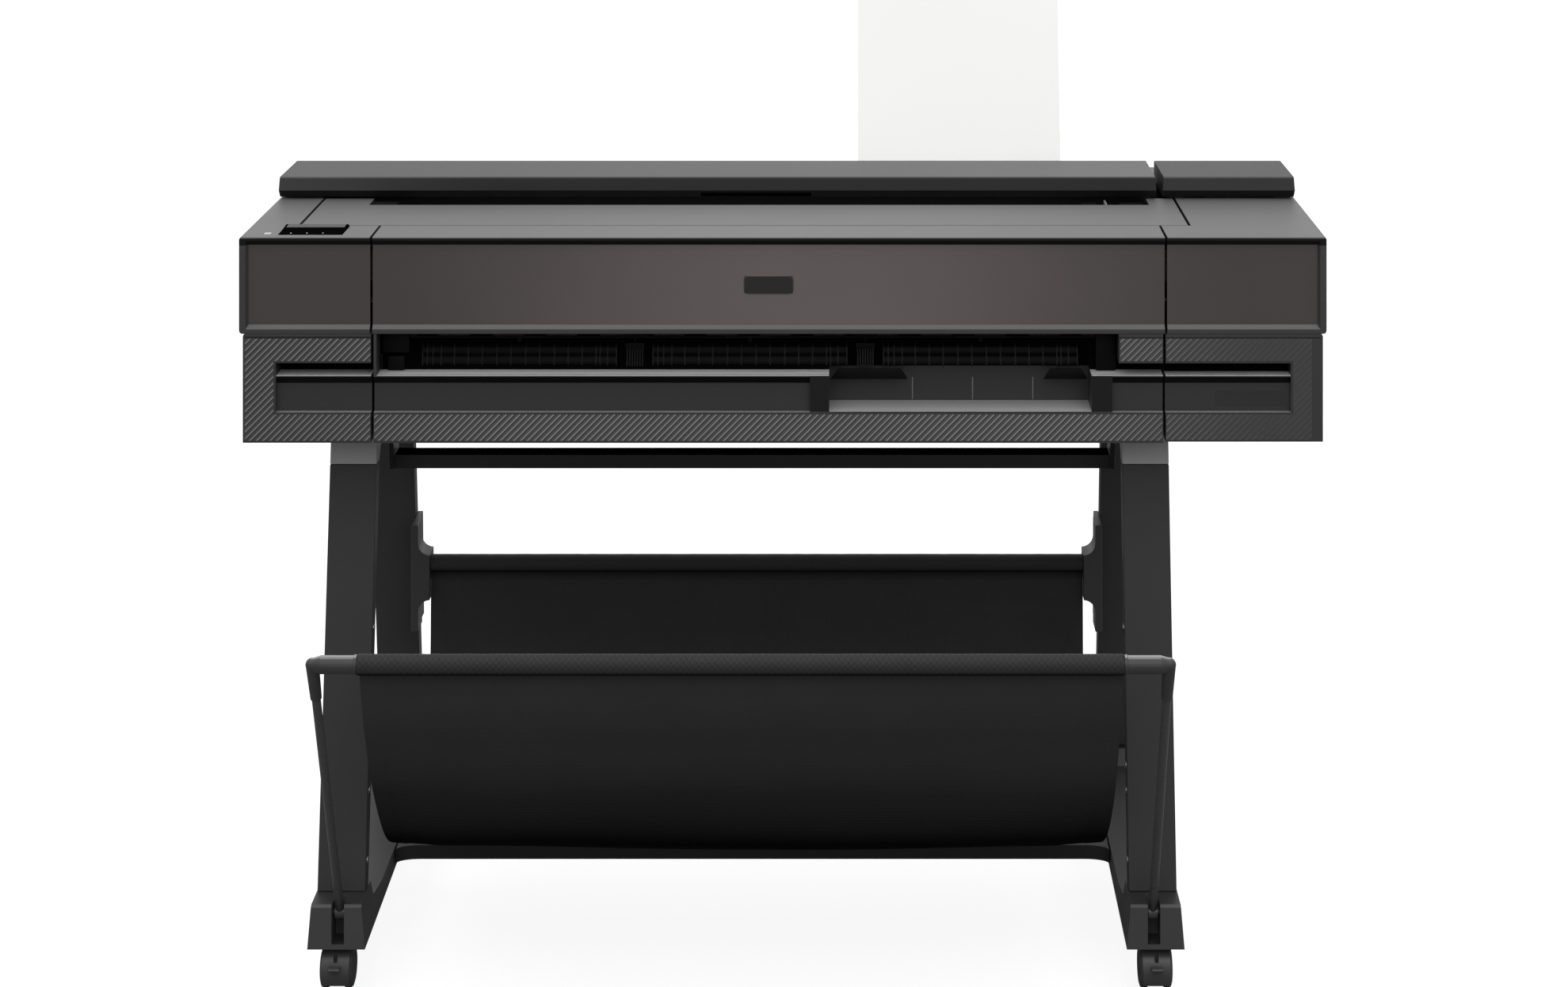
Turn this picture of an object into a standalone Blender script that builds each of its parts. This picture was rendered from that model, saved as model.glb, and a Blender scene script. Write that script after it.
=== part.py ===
"""Large format plotter on an open stand with a fabric catch basket.

Metres, Z up, floor at z = 0. The machine is seen with its front towards -Y and its width along X.
X = 0 is the middle of the printer body, Y = 0 the middle of the whole depth.
Each named object is one physical piece. A moving piece has its origin on its joint axis.
"""

import math

import bmesh
import bpy
from mathutils import Matrix, Vector

# ---------------------------------------------------------------- printer body
GAP = 0.0003
WALL = 0.003
FRONT_Y = -0.1585
BACK_Y = 0.342
LOWER_HALF = 0.654
UPPER_HALF = 0.6585
LOWER_Z0 = 0.648
LOWER_Z1 = 0.7797
GROOVE_Z = (0.7745, 0.776)
GROOVE_DEPTH = 0.002
UPPER_Z0 = 0.780
UPPER_Z1 = 0.897
CREASE_Y = -0.083
SEAM_LEFT = -0.4988
SEAM_RIGHT = 0.4643
LOWER_SEAM_LEFT = -0.497
LOWER_SEAM_RIGHT = 0.462
TOP_SEAM_LEFT = -0.599
TOP_SEAM_RIGHT = 0.501
SEAM = 0.0015
TOP_REAR_Y = 0.058
TOP_REAR_SIDE_Y = 0.104
TOP_NOTCH_LEFT = -0.5343
TOP_NOTCH_RIGHT = 0.4642

# framed panel across the upper front
FRAME_SIDE = 0.0077
FRAME_BEVEL = 0.003
FRAME_CORNER = 0.004
TOP_CORNER = 0.003
PANEL_DEPTH = 0.005
PANEL_Z0 = 0.7905
PANEL_Z1 = 0.8875
BADGE_X = -0.0173
BADGE_Z = 0.8386
BADGE_SIZE = (0.060, 0.0008, 0.022)

# recess, lip and paper exit in the lower front
RECESS_X0 = -0.614
RECESS_X1 = 0.6153
RECESS_Z0 = 0.685
RECESS_Z1 = 0.7446
LIP_Z0 = 0.7280
LIP_ROOT_Z = 0.7190
LIP_Z1 = 0.7293
RECESS_Y = -0.1505
LIP_BACK_Y = -0.126
EXIT_X0 = -0.492
EXIT_X1 = 0.407
TRAY_X0 = 0.056
TRAY_X1 = 0.374
POST_X0 = 0.033
POST_X1 = 0.399
TRAY_Z = 0.686
TRAY_BACK_Y = -0.1013
TRAY_TOP_Z = 0.7152
GUIDE_Y = -0.113
GUIDE_Z = 0.762
PANEL_BACK_Y = -0.090
DOOR_BACK_Y = -0.131
DOOR_HINGE = (-0.1555, 0.651)

# long cover over the roll
HOOD_Y0 = 0.0958
HOOD_Y1 = 0.224
HOOD_Z0 = 0.8994
HOOD_Z1 = 0.926
HOOD_CHAMFER_Z = 0.9086
HOOD_DRAFT = 0.0015
LID_SKIRT_Z = 0.8905
BAY_WALL_Z = 0.795
LID_X0 = -0.6574
LID_X1 = 0.4775
HOOD_X0 = 0.4857
HOOD_X1 = 0.6568
GRIP_X0 = -0.1125
GRIP_X1 = 0.0314

# display and button
DISPLAY_X0 = -0.614
DISPLAY_X1 = -0.5365
DISPLAY_Y0 = -0.1425
DISPLAY_Y1 = -0.0865
DISPLAY_THICK = 0.0085
POCKET_DEPTH = 0.013
BUTTON_CENTRE = (-0.6279, -0.1352)
BUTTON_SIZE = (0.0085, 0.0105)

# mechanism
PLATE_X = 0.640
MEDIA_X0 = -0.500
MEDIA_X1 = 0.414
FEED_AXIS = (-0.026, 0.7745)
FEED_R = 0.012
PINCH_R = 0.006
OUTPUT_AXIS = (-0.1045, 0.7745)
OUTPUT_R = 0.0115
PLATEN_TOP = 0.7862
CARRIAGE_X = 0.555
CARRIAGE_HALF = 0.055
PULLEY_X = 0.622
PULLEY_Z = 0.870
PULLEY_R = 0.007
ROLL_AXIS = (0.150, 0.800)
ROLL_R = 0.048
CORE_R = 0.0195
SPINDLE_R = 0.008
CARTRIDGE_X0 = 0.480
CARTRIDGE_PITCH = 0.038
CARTRIDGE_SIZE = (0.034, 0.079, 0.083)

# loose sheet in the rear feeder
SHEET_X0 = 0.092
SHEET_X1 = 0.368
SHEET_FOOT = (0.281, 0.800)
SHEET_LENGTH = 0.432
SHEET_LEAN = math.radians(14.0)
SHEET_THICK = 0.0012

# ---------------------------------------------------------------- stand
STAND_X = -0.043
LEG_IN = 0.461
LEG_OUT = 0.5187
LEG_DEPTH = 0.0258
LEG_WALL = 0.002
LEG_TOP_Z = 0.6005
LEG_FOOT_Z = 0.1093
FRONT_LEG_TOP_Y = -0.0785
FRONT_LEG_FOOT_Y = -0.1695
REAR_LEG_TOP_Y = 0.2345
REAR_LEG_FOOT_Y = 0.3265
FOOT_IN = 0.455
FOOT_OUT = 0.524
FOOT_Z0 = 0.056
FOOT_Z1 = 0.109
FOOT_Y0 = -0.2095
FOOT_Y1 = 0.394
FOOT_TAPER = 0.0045
SLOT_X = 0.4875
SLOT_WIDTH = 0.015
SLOT_BACK_Y = -0.1765
BEAM_Y0 = 0.027
BEAM_Y1 = 0.062
BEAM_Z0 = 0.5675
BEAM_Z1 = 0.585
BAR_Y0 = 0.055
BAR_Y1 = 0.090
BAR_Z0 = 0.060
BAR_Z1 = 0.078
BAR_FLARE = (0.030, 0.015)

# catch basket
PIVOT = (-0.190, 0.093)
FRONT_BAR = (-0.3835, 0.454)
REAR_BAR = (0.2335, 0.386)
FABRIC_HALF = 0.4355
FABRIC_THICK = 0.0024
REAR_SLEEVE_R = 0.0105
FRONT_BAR_R = 0.0104
BAR_STUB_R = 0.0075
REAR_BAR_R = 0.009
ROD_R = 0.0052
ELBOW_R = 0.0104
ELBOW_NECK_R = 0.0078
ELBOW_TIP_R = 0.0066
ELBOW_DROP = 0.052
ELBOW_START = 0.4395
BRACKET_PLATE = 0.4515
BRACKET_TIP = 0.436
BRACKET_TOP = 0.054
BRACKET_FOOT = 0.088
FABRIC_CURVE = (
    (-0.3775, 0.4412),
    (-0.3640, 0.4140),
    (-0.335, 0.3560),
    (-0.2807, 0.2706),
    (-0.200, 0.1880),
    (-0.1108, 0.1433),
    (-0.020, 0.1210),
    (0.080, 0.1250),
    (0.160, 0.1600),
    (0.210, 0.2150),
    (0.2264, 0.2700),
    (0.2335, 0.3780),
)

# casters
CASTER_X = 0.491
FRONT_SWIVEL_Y = -0.166
REAR_SWIVEL_Y = 0.355
CASTER_TRAIL = 0.015
WHEEL_R = 0.025
WHEEL_IN = 0.0095
WHEEL_OUT = 0.0197
WHEEL_AXLE_R = 0.004
HOOD_R = 0.0285

ROUND = 24
SMALL_ROUND = 14
CORNER_STEPS = 4


# ---------------------------------------------------------------- building blocks
def make_material(name, colour, roughness, metallic=0.0):
    material = bpy.data.materials.new(name)
    material.use_nodes = True
    shader = material.node_tree.nodes["Principled BSDF"]
    shader.inputs["Base Color"].default_value = (*colour, 1.0)
    shader.inputs["Roughness"].default_value = roughness
    shader.inputs["Metallic"].default_value = metallic
    material.diffuse_color = (*colour, 1.0)
    return material


def mesh_object(bm, name="piece"):
    bmesh.ops.recalc_face_normals(bm, faces=bm.faces)
    mesh = bpy.data.meshes.new(name)
    bm.to_mesh(mesh)
    bm.free()
    piece = bpy.data.objects.new(name, mesh)
    bpy.context.scene.collection.objects.link(piece)
    return piece


def extrude_polygon(corners, shift):
    bm = bmesh.new()
    start = [bm.verts.new(corner) for corner in corners]
    end = [bm.verts.new(Vector(corner) + Vector(shift)) for corner in corners]
    bm.faces.new(start)
    bm.faces.new(list(reversed(end)))
    for i in range(len(corners)):
        j = (i + 1) % len(corners)
        bm.faces.new((start[i], start[j], end[j], end[i]))
    return mesh_object(bm)


def prism_x(profile, x0, x1):
    """Polygon given as (y, z) corners, run along X."""
    return extrude_polygon([(x0, y, z) for y, z in profile], (x1 - x0, 0, 0))


def prism_y(profile, y0, y1):
    """Polygon given as (x, z) corners, run along Y."""
    return extrude_polygon([(x, y0, z) for x, z in profile], (0, y1 - y0, 0))


def prism_z(profile, z0, z1):
    """Polygon given as (x, y) corners, run along Z."""
    return extrude_polygon([(x, y, z0) for x, y in profile], (0, 0, z1 - z0))


def box(x0, x1, y0, y1, z0, z1):
    return prism_z([(x0, y0), (x1, y0), (x1, y1), (x0, y1)], z0, z1)


def lathe(profile, centre, axis, segments=ROUND):
    """Turned solid: profile is (distance along axis, radius), starting and ending at any radius."""
    axis = Vector(axis).normalized()
    turn = Vector((0, 0, 1)).rotation_difference(axis).to_matrix()
    bm = bmesh.new()
    rings = []
    for along, radius in profile:
        ring = []
        for k in range(segments):
            angle = 2 * math.pi * (k + 0.5) / segments
            local = Vector((radius * math.cos(angle), radius * math.sin(angle), along))
            ring.append(bm.verts.new(turn @ local + Vector(centre)))
        rings.append(ring)
    for low, high in zip(rings, rings[1:]):
        for k in range(segments):
            j = (k + 1) % segments
            bm.faces.new((low[k], low[j], high[j], high[k]))
    bm.faces.new(list(reversed(rings[0])))
    bm.faces.new(rings[-1])
    return mesh_object(bm)


def rod(start, end, radius, segments=ROUND):
    start = Vector(start)
    length = (Vector(end) - start).length
    return lathe([(0, radius), (length, radius)], start, Vector(end) - start, segments)


def ball(centre, radius, segments=ROUND):
    bm = bmesh.new()
    bmesh.ops.create_uvsphere(bm, u_segments=segments, v_segments=segments // 2, radius=radius)
    bmesh.ops.translate(bm, vec=centre, verts=bm.verts)
    return mesh_object(bm)


def apply_boolean(piece, other, operation):
    modifier = piece.modifiers.new("step", "BOOLEAN")
    modifier.operation = operation
    modifier.solver = "EXACT"
    modifier.object = other
    graph = bpy.context.evaluated_depsgraph_get()
    mesh = bpy.data.meshes.new_from_object(piece.evaluated_get(graph))
    piece.modifiers.clear()
    piece.data = mesh
    bpy.data.objects.remove(other)


def add(piece, *others):
    for other in others:
        apply_boolean(piece, other, "UNION")
    return piece


def cut(piece, *others):
    for other in others:
        apply_boolean(piece, other, "DIFFERENCE")
    return piece


def round_corner(piece, x, z, into, radius):
    """Rounds the edge that runs along Y at (x, z); into points towards the material."""
    dx, dz = into
    cx, cz = x + dx * radius, z + dz * radius
    clear = 0.001
    waste = [(x - dx * clear, z - dz * clear), (x - dx * clear, cz)]
    for k in range(CORNER_STEPS + 1):
        angle = math.radians(90 * k / CORNER_STEPS)
        waste.append((cx - dx * radius * math.cos(angle), cz - dz * radius * math.sin(angle)))
    waste.append((cx, z - dz * clear))
    return cut(piece, prism_y(waste, FRONT_Y - 0.01, BACK_Y + 0.01))


def finish(piece, name, material, origin=(0, 0, 0), sharp=35):
    piece.name = name
    piece.data.name = name
    piece.data.materials.clear()
    piece.data.materials.append(material)
    piece.data.transform(Matrix.Translation(-Vector(origin)))
    piece.location = origin
    piece.data.shade_smooth()
    piece.data.set_sharp_from_angle(angle=math.radians(sharp))
    return piece


def side_span(side, near, far):
    """X limits of a stand piece between two distances from the stand's centre line."""
    ends = (STAND_X + side * near, STAND_X + side * far)
    return min(ends), max(ends)


# ---------------------------------------------------------------- upper covers
def framed_profile():
    """Front wall with its sunk panel, and the top wall back to the crease."""
    panel_y = FRONT_Y + PANEL_DEPTH
    inner_y = panel_y + WALL
    return [
        (FRONT_Y, UPPER_Z0),
        (FRONT_Y, PANEL_Z0 - PANEL_DEPTH),
        (panel_y, PANEL_Z0),
        (panel_y, PANEL_Z1),
        (FRONT_Y, PANEL_Z1 + PANEL_DEPTH),
        (FRONT_Y, UPPER_Z1 - 0.0025),
        (FRONT_Y + 0.0008, UPPER_Z1 - 0.0008),
        (FRONT_Y + 0.0025, UPPER_Z1),
        (CREASE_Y, UPPER_Z1),
        (CREASE_Y, UPPER_Z1 - WALL),
        (inner_y, UPPER_Z1 - WALL),
        (inner_y, UPPER_Z0),
    ]


def end_profile():
    """Whole side outline of the upper body."""
    back = BACK_Y - WALL - GAP
    return [
        (FRONT_Y, UPPER_Z0),
        (FRONT_Y, UPPER_Z1 - 0.0025),
        (FRONT_Y + 0.0008, UPPER_Z1 - 0.0008),
        (FRONT_Y + 0.0025, UPPER_Z1),
        (back, UPPER_Z1),
        (back, UPPER_Z0),
    ]


def upper_side_cover(side, seam, top_seam):
    outer = side * UPPER_HALF
    skin = side * (UPPER_HALF - WALL)
    frame = side * (UPPER_HALF - FRAME_SIDE)
    edge = seam + side * SEAM
    top_edge = top_seam + side * SEAM
    back = BACK_Y - WALL - GAP
    piece = prism_x(framed_profile(), min(frame, edge), max(frame, edge))
    add(piece, prism_x(end_profile(), min(outer, skin), max(outer, skin)))
    inner_y = FRONT_Y + PANEL_DEPTH + WALL
    bevel = frame - side * FRAME_BEVEL
    post = [(skin + side * 0.001, FRONT_Y), (frame, FRONT_Y), (bevel, FRONT_Y + PANEL_DEPTH)]
    post += [(bevel, inner_y), (skin + side * 0.001, inner_y)]
    add(piece, prism_z(post, UPPER_Z0, UPPER_Z1 - WALL))
    x0, x1 = min(skin + side * 0.001, frame), max(skin + side * 0.001, frame)
    top = [(FRONT_Y, UPPER_Z1 - WALL - 0.001)] + framed_profile()[5:9]
    top.append((CREASE_Y, UPPER_Z1 - WALL - 0.001))
    add(piece, prism_x(top, x0, x1))
    x0, x1 = min(skin + side * 0.001, top_edge), max(skin + side * 0.001, top_edge)
    add(piece, box(x0, x1, CREASE_Y - 0.002, back, UPPER_Z1 - WALL, UPPER_Z1))
    round_corner(piece, outer, UPPER_Z0, (-side, 1), FRAME_CORNER)
    return round_corner(piece, outer, UPPER_Z1, (-side, -1), TOP_CORNER)


def left_upper_cover(material):
    piece = upper_side_cover(-1, SEAM_LEFT, TOP_SEAM_LEFT)
    x0, x1 = DISPLAY_X0 - 0.0006, DISPLAY_X1 + 0.0006
    y0, y1 = DISPLAY_Y0 - 0.0006, DISPLAY_Y1 + 0.0015
    floor = UPPER_Z1 - POCKET_DEPTH
    add(piece, box(x0 - 0.002, x1 + 0.002, y0 - 0.002, CREASE_Y, floor - 0.002, UPPER_Z1 - 0.002))
    cut(piece, box(x0, x1, y0, y1, floor, UPPER_Z1 + 0.01))
    bx, by = BUTTON_CENTRE
    hx, hy = BUTTON_SIZE[0] / 2 + GAP, BUTTON_SIZE[1] / 2 + GAP
    cut(piece, box(bx - hx, bx + hx, by - hy, by + hy, UPPER_Z1 - 0.01, UPPER_Z1 + 0.01))
    return finish(piece, "left_upper_cover", material)


def right_upper_cover(material):
    piece = upper_side_cover(1, SEAM_RIGHT, TOP_SEAM_RIGHT)
    return finish(piece, "right_upper_cover", material)


def front_cover(material):
    x0, x1 = SEAM_LEFT + SEAM, SEAM_RIGHT - SEAM
    piece = prism_x(framed_profile(), x0, x1)
    sx, sy, sz = BADGE_SIZE
    panel_y = FRONT_Y + PANEL_DEPTH
    corner = 0.004
    hx, hz = sx / 2, sz / 2
    outline = [
        (BADGE_X - hx + corner, BADGE_Z - hz),
        (BADGE_X + hx - corner, BADGE_Z - hz),
        (BADGE_X + hx, BADGE_Z - hz + corner),
        (BADGE_X + hx, BADGE_Z + hz - corner),
        (BADGE_X + hx - corner, BADGE_Z + hz),
        (BADGE_X - hx + corner, BADGE_Z + hz),
        (BADGE_X - hx, BADGE_Z + hz - corner),
        (BADGE_X - hx, BADGE_Z - hz + corner),
    ]
    add(piece, prism_y(outline, panel_y - sy, panel_y + 0.001))
    return finish(piece, "front_cover", material, (0, CREASE_Y, UPPER_Z1))


def top_cover(material):
    x0, x1 = TOP_SEAM_LEFT + SEAM, TOP_SEAM_RIGHT - SEAM
    front = CREASE_Y + 2 * SEAM
    outline = [
        (x0, front),
        (x1, front),
        (x1, TOP_REAR_SIDE_Y),
        (TOP_NOTCH_RIGHT, TOP_REAR_SIDE_Y),
        (TOP_NOTCH_RIGHT, TOP_REAR_Y),
        (TOP_NOTCH_LEFT, TOP_REAR_Y),
        (TOP_NOTCH_LEFT, TOP_REAR_SIDE_Y),
        (x0, TOP_REAR_SIDE_Y),
    ]
    piece = prism_z(outline, UPPER_Z1 - WALL, UPPER_Z1)
    lip_z = UPPER_Z1 - 0.012
    add(piece, box(x0, x1, front, front + 0.002, UPPER_Z1 - 0.008, UPPER_Z1 - 0.002))
    add(
        piece,
        box(TOP_NOTCH_LEFT, TOP_NOTCH_RIGHT, TOP_REAR_Y - 0.002, TOP_REAR_Y, lip_z, UPPER_Z1 - 0.002),
    )
    return finish(piece, "top_cover", material)


def hood_profile():
    return [
        (HOOD_Y0 + 0.0065, HOOD_Z0),
        (HOOD_Y0, HOOD_CHAMFER_Z),
        (HOOD_Y0, HOOD_Z1 - 0.0015),
        (HOOD_Y0 + 0.0015, HOOD_Z1),
        (HOOD_Y1 - 0.002, HOOD_Z1),
        (HOOD_Y1, HOOD_Z1 - 0.002),
        (HOOD_Y1, HOOD_Z0),
    ]


def hood_shell(x0, x1):
    piece = prism_x(hood_profile(), x0, x1)
    for vertex in piece.data.vertices:
        drop = (vertex.co.z - HOOD_CHAMFER_Z) / (HOOD_Z1 - HOOD_CHAMFER_Z)
        inset = HOOD_DRAFT * max(drop, -drop)
        vertex.co.x += inset if vertex.co.x < (x0 + x1) / 2 else -inset
    inner = [
        (HOOD_Y0 + 0.0125, HOOD_Z0 - 0.01),
        (HOOD_Y0 + 0.0125, HOOD_Z1 - WALL),
        (HOOD_Y1 - WALL, HOOD_Z1 - WALL),
        (HOOD_Y1 - WALL, HOOD_Z0 - 0.01),
    ]
    return cut(piece, prism_x(inner, x0 + 0.008, x1 - 0.008))


def roll_cover(material):
    piece = hood_shell(LID_X0, LID_X1)
    cut(piece, box(GRIP_X0, GRIP_X1, HOOD_Y0 - 0.01, HOOD_Y0 + 0.0085, HOOD_Z0 - 0.01, HOOD_Z0 + 0.006))
    x0, x1 = TOP_SEAM_LEFT + 0.007, LID_X1 - 0.0035
    add(piece, box(x0, x1, HOOD_Y1 - WALL, HOOD_Y1 - GAP, LID_SKIRT_Z, HOOD_Z0 + 0.003))
    return finish(piece, "roll_cover", material, (0, HOOD_Y1, HOOD_Z0))


def right_hood_cover(material):
    piece = hood_shell(HOOD_X0, HOOD_X1)
    y0, y1 = HOOD_Y0 + 0.012, HOOD_Y1 - 0.001
    low, high = UPPER_Z1 + GAP, HOOD_Z1 - 0.001
    add(piece, box(HOOD_X0 + 0.006, HOOD_X0 + 0.026, y0, y1, low, high))
    add(piece, box(HOOD_X1 - 0.026, HOOD_X1 - 0.006, y0, y1, low, high))
    return finish(piece, "right_hood_cover", material)


def rear_cover(material):
    top_front = HOOD_Y1 + 0.0025
    inner = BACK_Y - WALL
    piece = box(-UPPER_HALF, UPPER_HALF, inner, BACK_Y, UPPER_Z0 - 0.001, UPPER_Z1)
    add(piece, box(-LOWER_HALF, LOWER_HALF, inner, BACK_Y, LOWER_Z0, UPPER_Z0))
    x0, x1 = TOP_SEAM_LEFT - SEAM + 2 * SEAM, TOP_SEAM_RIGHT - SEAM
    add(piece, box(x0, x1, top_front, inner + 0.001, UPPER_Z1 - WALL, UPPER_Z1))
    add(piece, box(x0, x1, top_front, top_front + WALL, BAY_WALL_Z, UPPER_Z1 - 0.001))
    slot_y = SHEET_FOOT[0] + (UPPER_Z1 - SHEET_FOOT[1]) * math.tan(SHEET_LEAN)
    cut(piece, box(SHEET_X0 - 0.004, SHEET_X1 + 0.004, slot_y - 0.006, slot_y + 0.005, 0.88, 0.91))
    lean = math.tan(SHEET_LEAN)
    low = UPPER_Z1 - 0.060
    back_y = slot_y + 0.005
    guide = [
        (back_y, UPPER_Z1 - 0.001),
        (back_y - 0.059 * lean, low),
        (back_y - 0.059 * lean + 0.003, low),
        (back_y + 0.003, UPPER_Z1 - 0.001),
    ]
    add(piece, prism_x(guide, SHEET_X0 - 0.004, SHEET_X1 + 0.004))
    for side in (-1, 1):
        round_corner(piece, side * UPPER_HALF, UPPER_Z1, (-side, -1), TOP_CORNER)
    return finish(piece, "rear_cover", material)


def control_display(material):
    z0 = UPPER_Z1 - DISPLAY_THICK
    profile = [
        (DISPLAY_Y0, UPPER_Z1),
        (DISPLAY_Y0 + 0.0006, z0 + 0.002),
        (DISPLAY_Y0 + 0.004, z0),
        (DISPLAY_Y1 - 0.004, z0),
        (DISPLAY_Y1, z0 + 0.002),
        (DISPLAY_Y1, UPPER_Z1 + 0.0022),
        (DISPLAY_Y1 - 0.002, UPPER_Z1 + 0.0028),
    ]
    piece = prism_x(profile, DISPLAY_X0, DISPLAY_X1)
    return finish(piece, "control_display", material, (0, DISPLAY_Y0, UPPER_Z1))


def power_button(material):
    bx, by = BUTTON_CENTRE
    hx, hy = BUTTON_SIZE[0] / 2, BUTTON_SIZE[1] / 2
    piece = box(bx - hx, bx + hx, by - hy, by + hy, UPPER_Z1 - 0.0035, UPPER_Z1 + 0.0006)
    return finish(piece, "power_button", material, (bx, by, UPPER_Z1))


# ---------------------------------------------------------------- lower body
def cut_recess(piece, x0, x1, back_y):
    cut(piece, prism_x(face_pocket(), x0, x1))
    cut(piece, box(x0, x1, FRONT_Y - 0.01, back_y, LIP_Z1, RECESS_Z1))


def face_pocket():
    """Sunk face under the lip; the lip thins towards its front edge."""
    clear = FRONT_Y - 0.01
    pocket = [(clear, RECESS_Z0), (RECESS_Y, RECESS_Z0), (RECESS_Y, LIP_ROOT_Z)]
    return pocket + [(FRONT_Y, LIP_Z0), (clear, LIP_Z0)]


def cut_groove(piece, x0, x1):
    """Dark line above the ribbed field."""
    return cut(piece, box(x0, x1, FRONT_Y - 0.01, FRONT_Y + GROOVE_DEPTH, *GROOVE_Z))


def left_lower_cover(material):
    edge = LOWER_SEAM_LEFT - SEAM
    back = -0.118
    piece = box(-LOWER_HALF, edge, FRONT_Y, back, LOWER_Z0, LOWER_Z1)
    skin = -LOWER_HALF + WALL
    low, high = LOWER_Z0 + WALL, LOWER_Z1 - WALL
    cut(piece, box(skin, edge - WALL, RECESS_Y + WALL, back + 0.01, low, LIP_ROOT_Z - WALL))
    cut(piece, box(skin, edge - WALL, LIP_BACK_Y + WALL, back + 0.01, LIP_ROOT_Z - 0.01, high))
    cut_recess(piece, RECESS_X0, edge + 0.01, LIP_BACK_Y)
    cut_groove(piece, skin, edge + 0.01)
    side_back = BACK_Y - WALL - GAP
    add(piece, box(-LOWER_HALF, skin, back - 0.001, side_back, LOWER_Z0, LOWER_Z1))
    round_corner(piece, -LOWER_HALF, LOWER_Z1, (1, -1), TOP_CORNER)
    return finish(piece, "left_lower_cover", material)


def right_lower_cover(material):
    """Right side wall, with a lip turned in behind the cartridge door."""
    skin = LOWER_HALF - WALL
    front = DOOR_BACK_Y + 0.0006
    piece = box(skin, LOWER_HALF, front, BACK_Y - WALL - GAP, LOWER_Z0, LOWER_Z1)
    add(piece, box(skin - 0.007, skin + 0.001, front, front + WALL, LOWER_Z0 + 0.006, LOWER_Z1))
    round_corner(piece, LOWER_HALF, LOWER_Z1, (-1, -1), TOP_CORNER)
    return finish(piece, "right_lower_cover", material)


def lower_front_panel(material):
    x0, x1 = LOWER_SEAM_LEFT + SEAM, LOWER_SEAM_RIGHT - SEAM
    piece = box(x0, x1, FRONT_Y, PANEL_BACK_Y, LOWER_Z0, LOWER_Z1)
    top = LOWER_Z1 + 0.01
    front = FRONT_Y - 0.01
    back = PANEL_BACK_Y + 0.01
    exit_cut = [
        (front, LIP_Z1),
        (LIP_BACK_Y, LIP_Z1),
        (GUIDE_Y, GUIDE_Z),
        (back, GUIDE_Z),
        (back, top),
        (front, top),
    ]
    cut(piece, prism_x(exit_cut, EXIT_X0, EXIT_X1))
    tray_cut = [
        (front, TRAY_Z),
        (TRAY_BACK_Y, TRAY_Z),
        (TRAY_BACK_Y, TRAY_TOP_Z),
        (GUIDE_Y, GUIDE_Z - 0.012),
        (GUIDE_Y, GUIDE_Z + 0.001),
        (front, GUIDE_Z + 0.001),
    ]
    cut(piece, prism_x(tray_cut, TRAY_X0, TRAY_X1))
    cut(piece, prism_x(face_pocket(), x0 - 0.01, POST_X0))
    cut_recess(piece, POST_X1, x1 + 0.01, LIP_BACK_Y)
    cut_groove(piece, EXIT_X1 - 0.01, x1 + 0.01)
    hollow = [
        (RECESS_Y + WALL, LOWER_Z0 + WALL),
        (RECESS_Y + WALL, LIP_ROOT_Z),
        (LIP_BACK_Y + 0.003, LIP_Z0 - WALL),
        (GUIDE_Y + 0.004, GUIDE_Z - WALL),
        (back, GUIDE_Z - WALL),
        (back, LOWER_Z0 + WALL),
    ]
    cut(piece, prism_x(hollow, x0 + WALL, POST_X0))
    cut(piece, prism_x(hollow, POST_X1, x1 - WALL))
    cut(piece, box(POST_X0 - 0.001, POST_X1 + 0.001, FRONT_Y + WALL, back, LOWER_Z0 + WALL, TRAY_Z - WALL))
    y, z = OUTPUT_AXIS
    cut(piece, rod((EXIT_X0 - 0.0025, y, z), (EXIT_X1 + 0.008, y, z), 0.0035, SMALL_ROUND))
    return finish(piece, "lower_front_panel", material)


def ink_door(material):
    x0 = LOWER_SEAM_RIGHT + SEAM
    z0 = LOWER_Z0 + 0.0015
    piece = box(x0, LOWER_HALF, FRONT_Y, DOOR_BACK_Y, z0, LOWER_Z1)
    cut(
        piece,
        box(x0 + WALL, LOWER_HALF - WALL, RECESS_Y + WALL, 0, z0 + 0.004, LIP_ROOT_Z),
    )
    cut_recess(piece, x0 - 0.01, RECESS_X1, DOOR_BACK_Y - 0.004)
    cut_groove(piece, x0 - 0.01, LOWER_HALF - WALL)
    round_corner(piece, LOWER_HALF, LOWER_Z1, (-1, -1), TOP_CORNER)
    return finish(piece, "ink_door", material, (0.558, *DOOR_HINGE))


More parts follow.
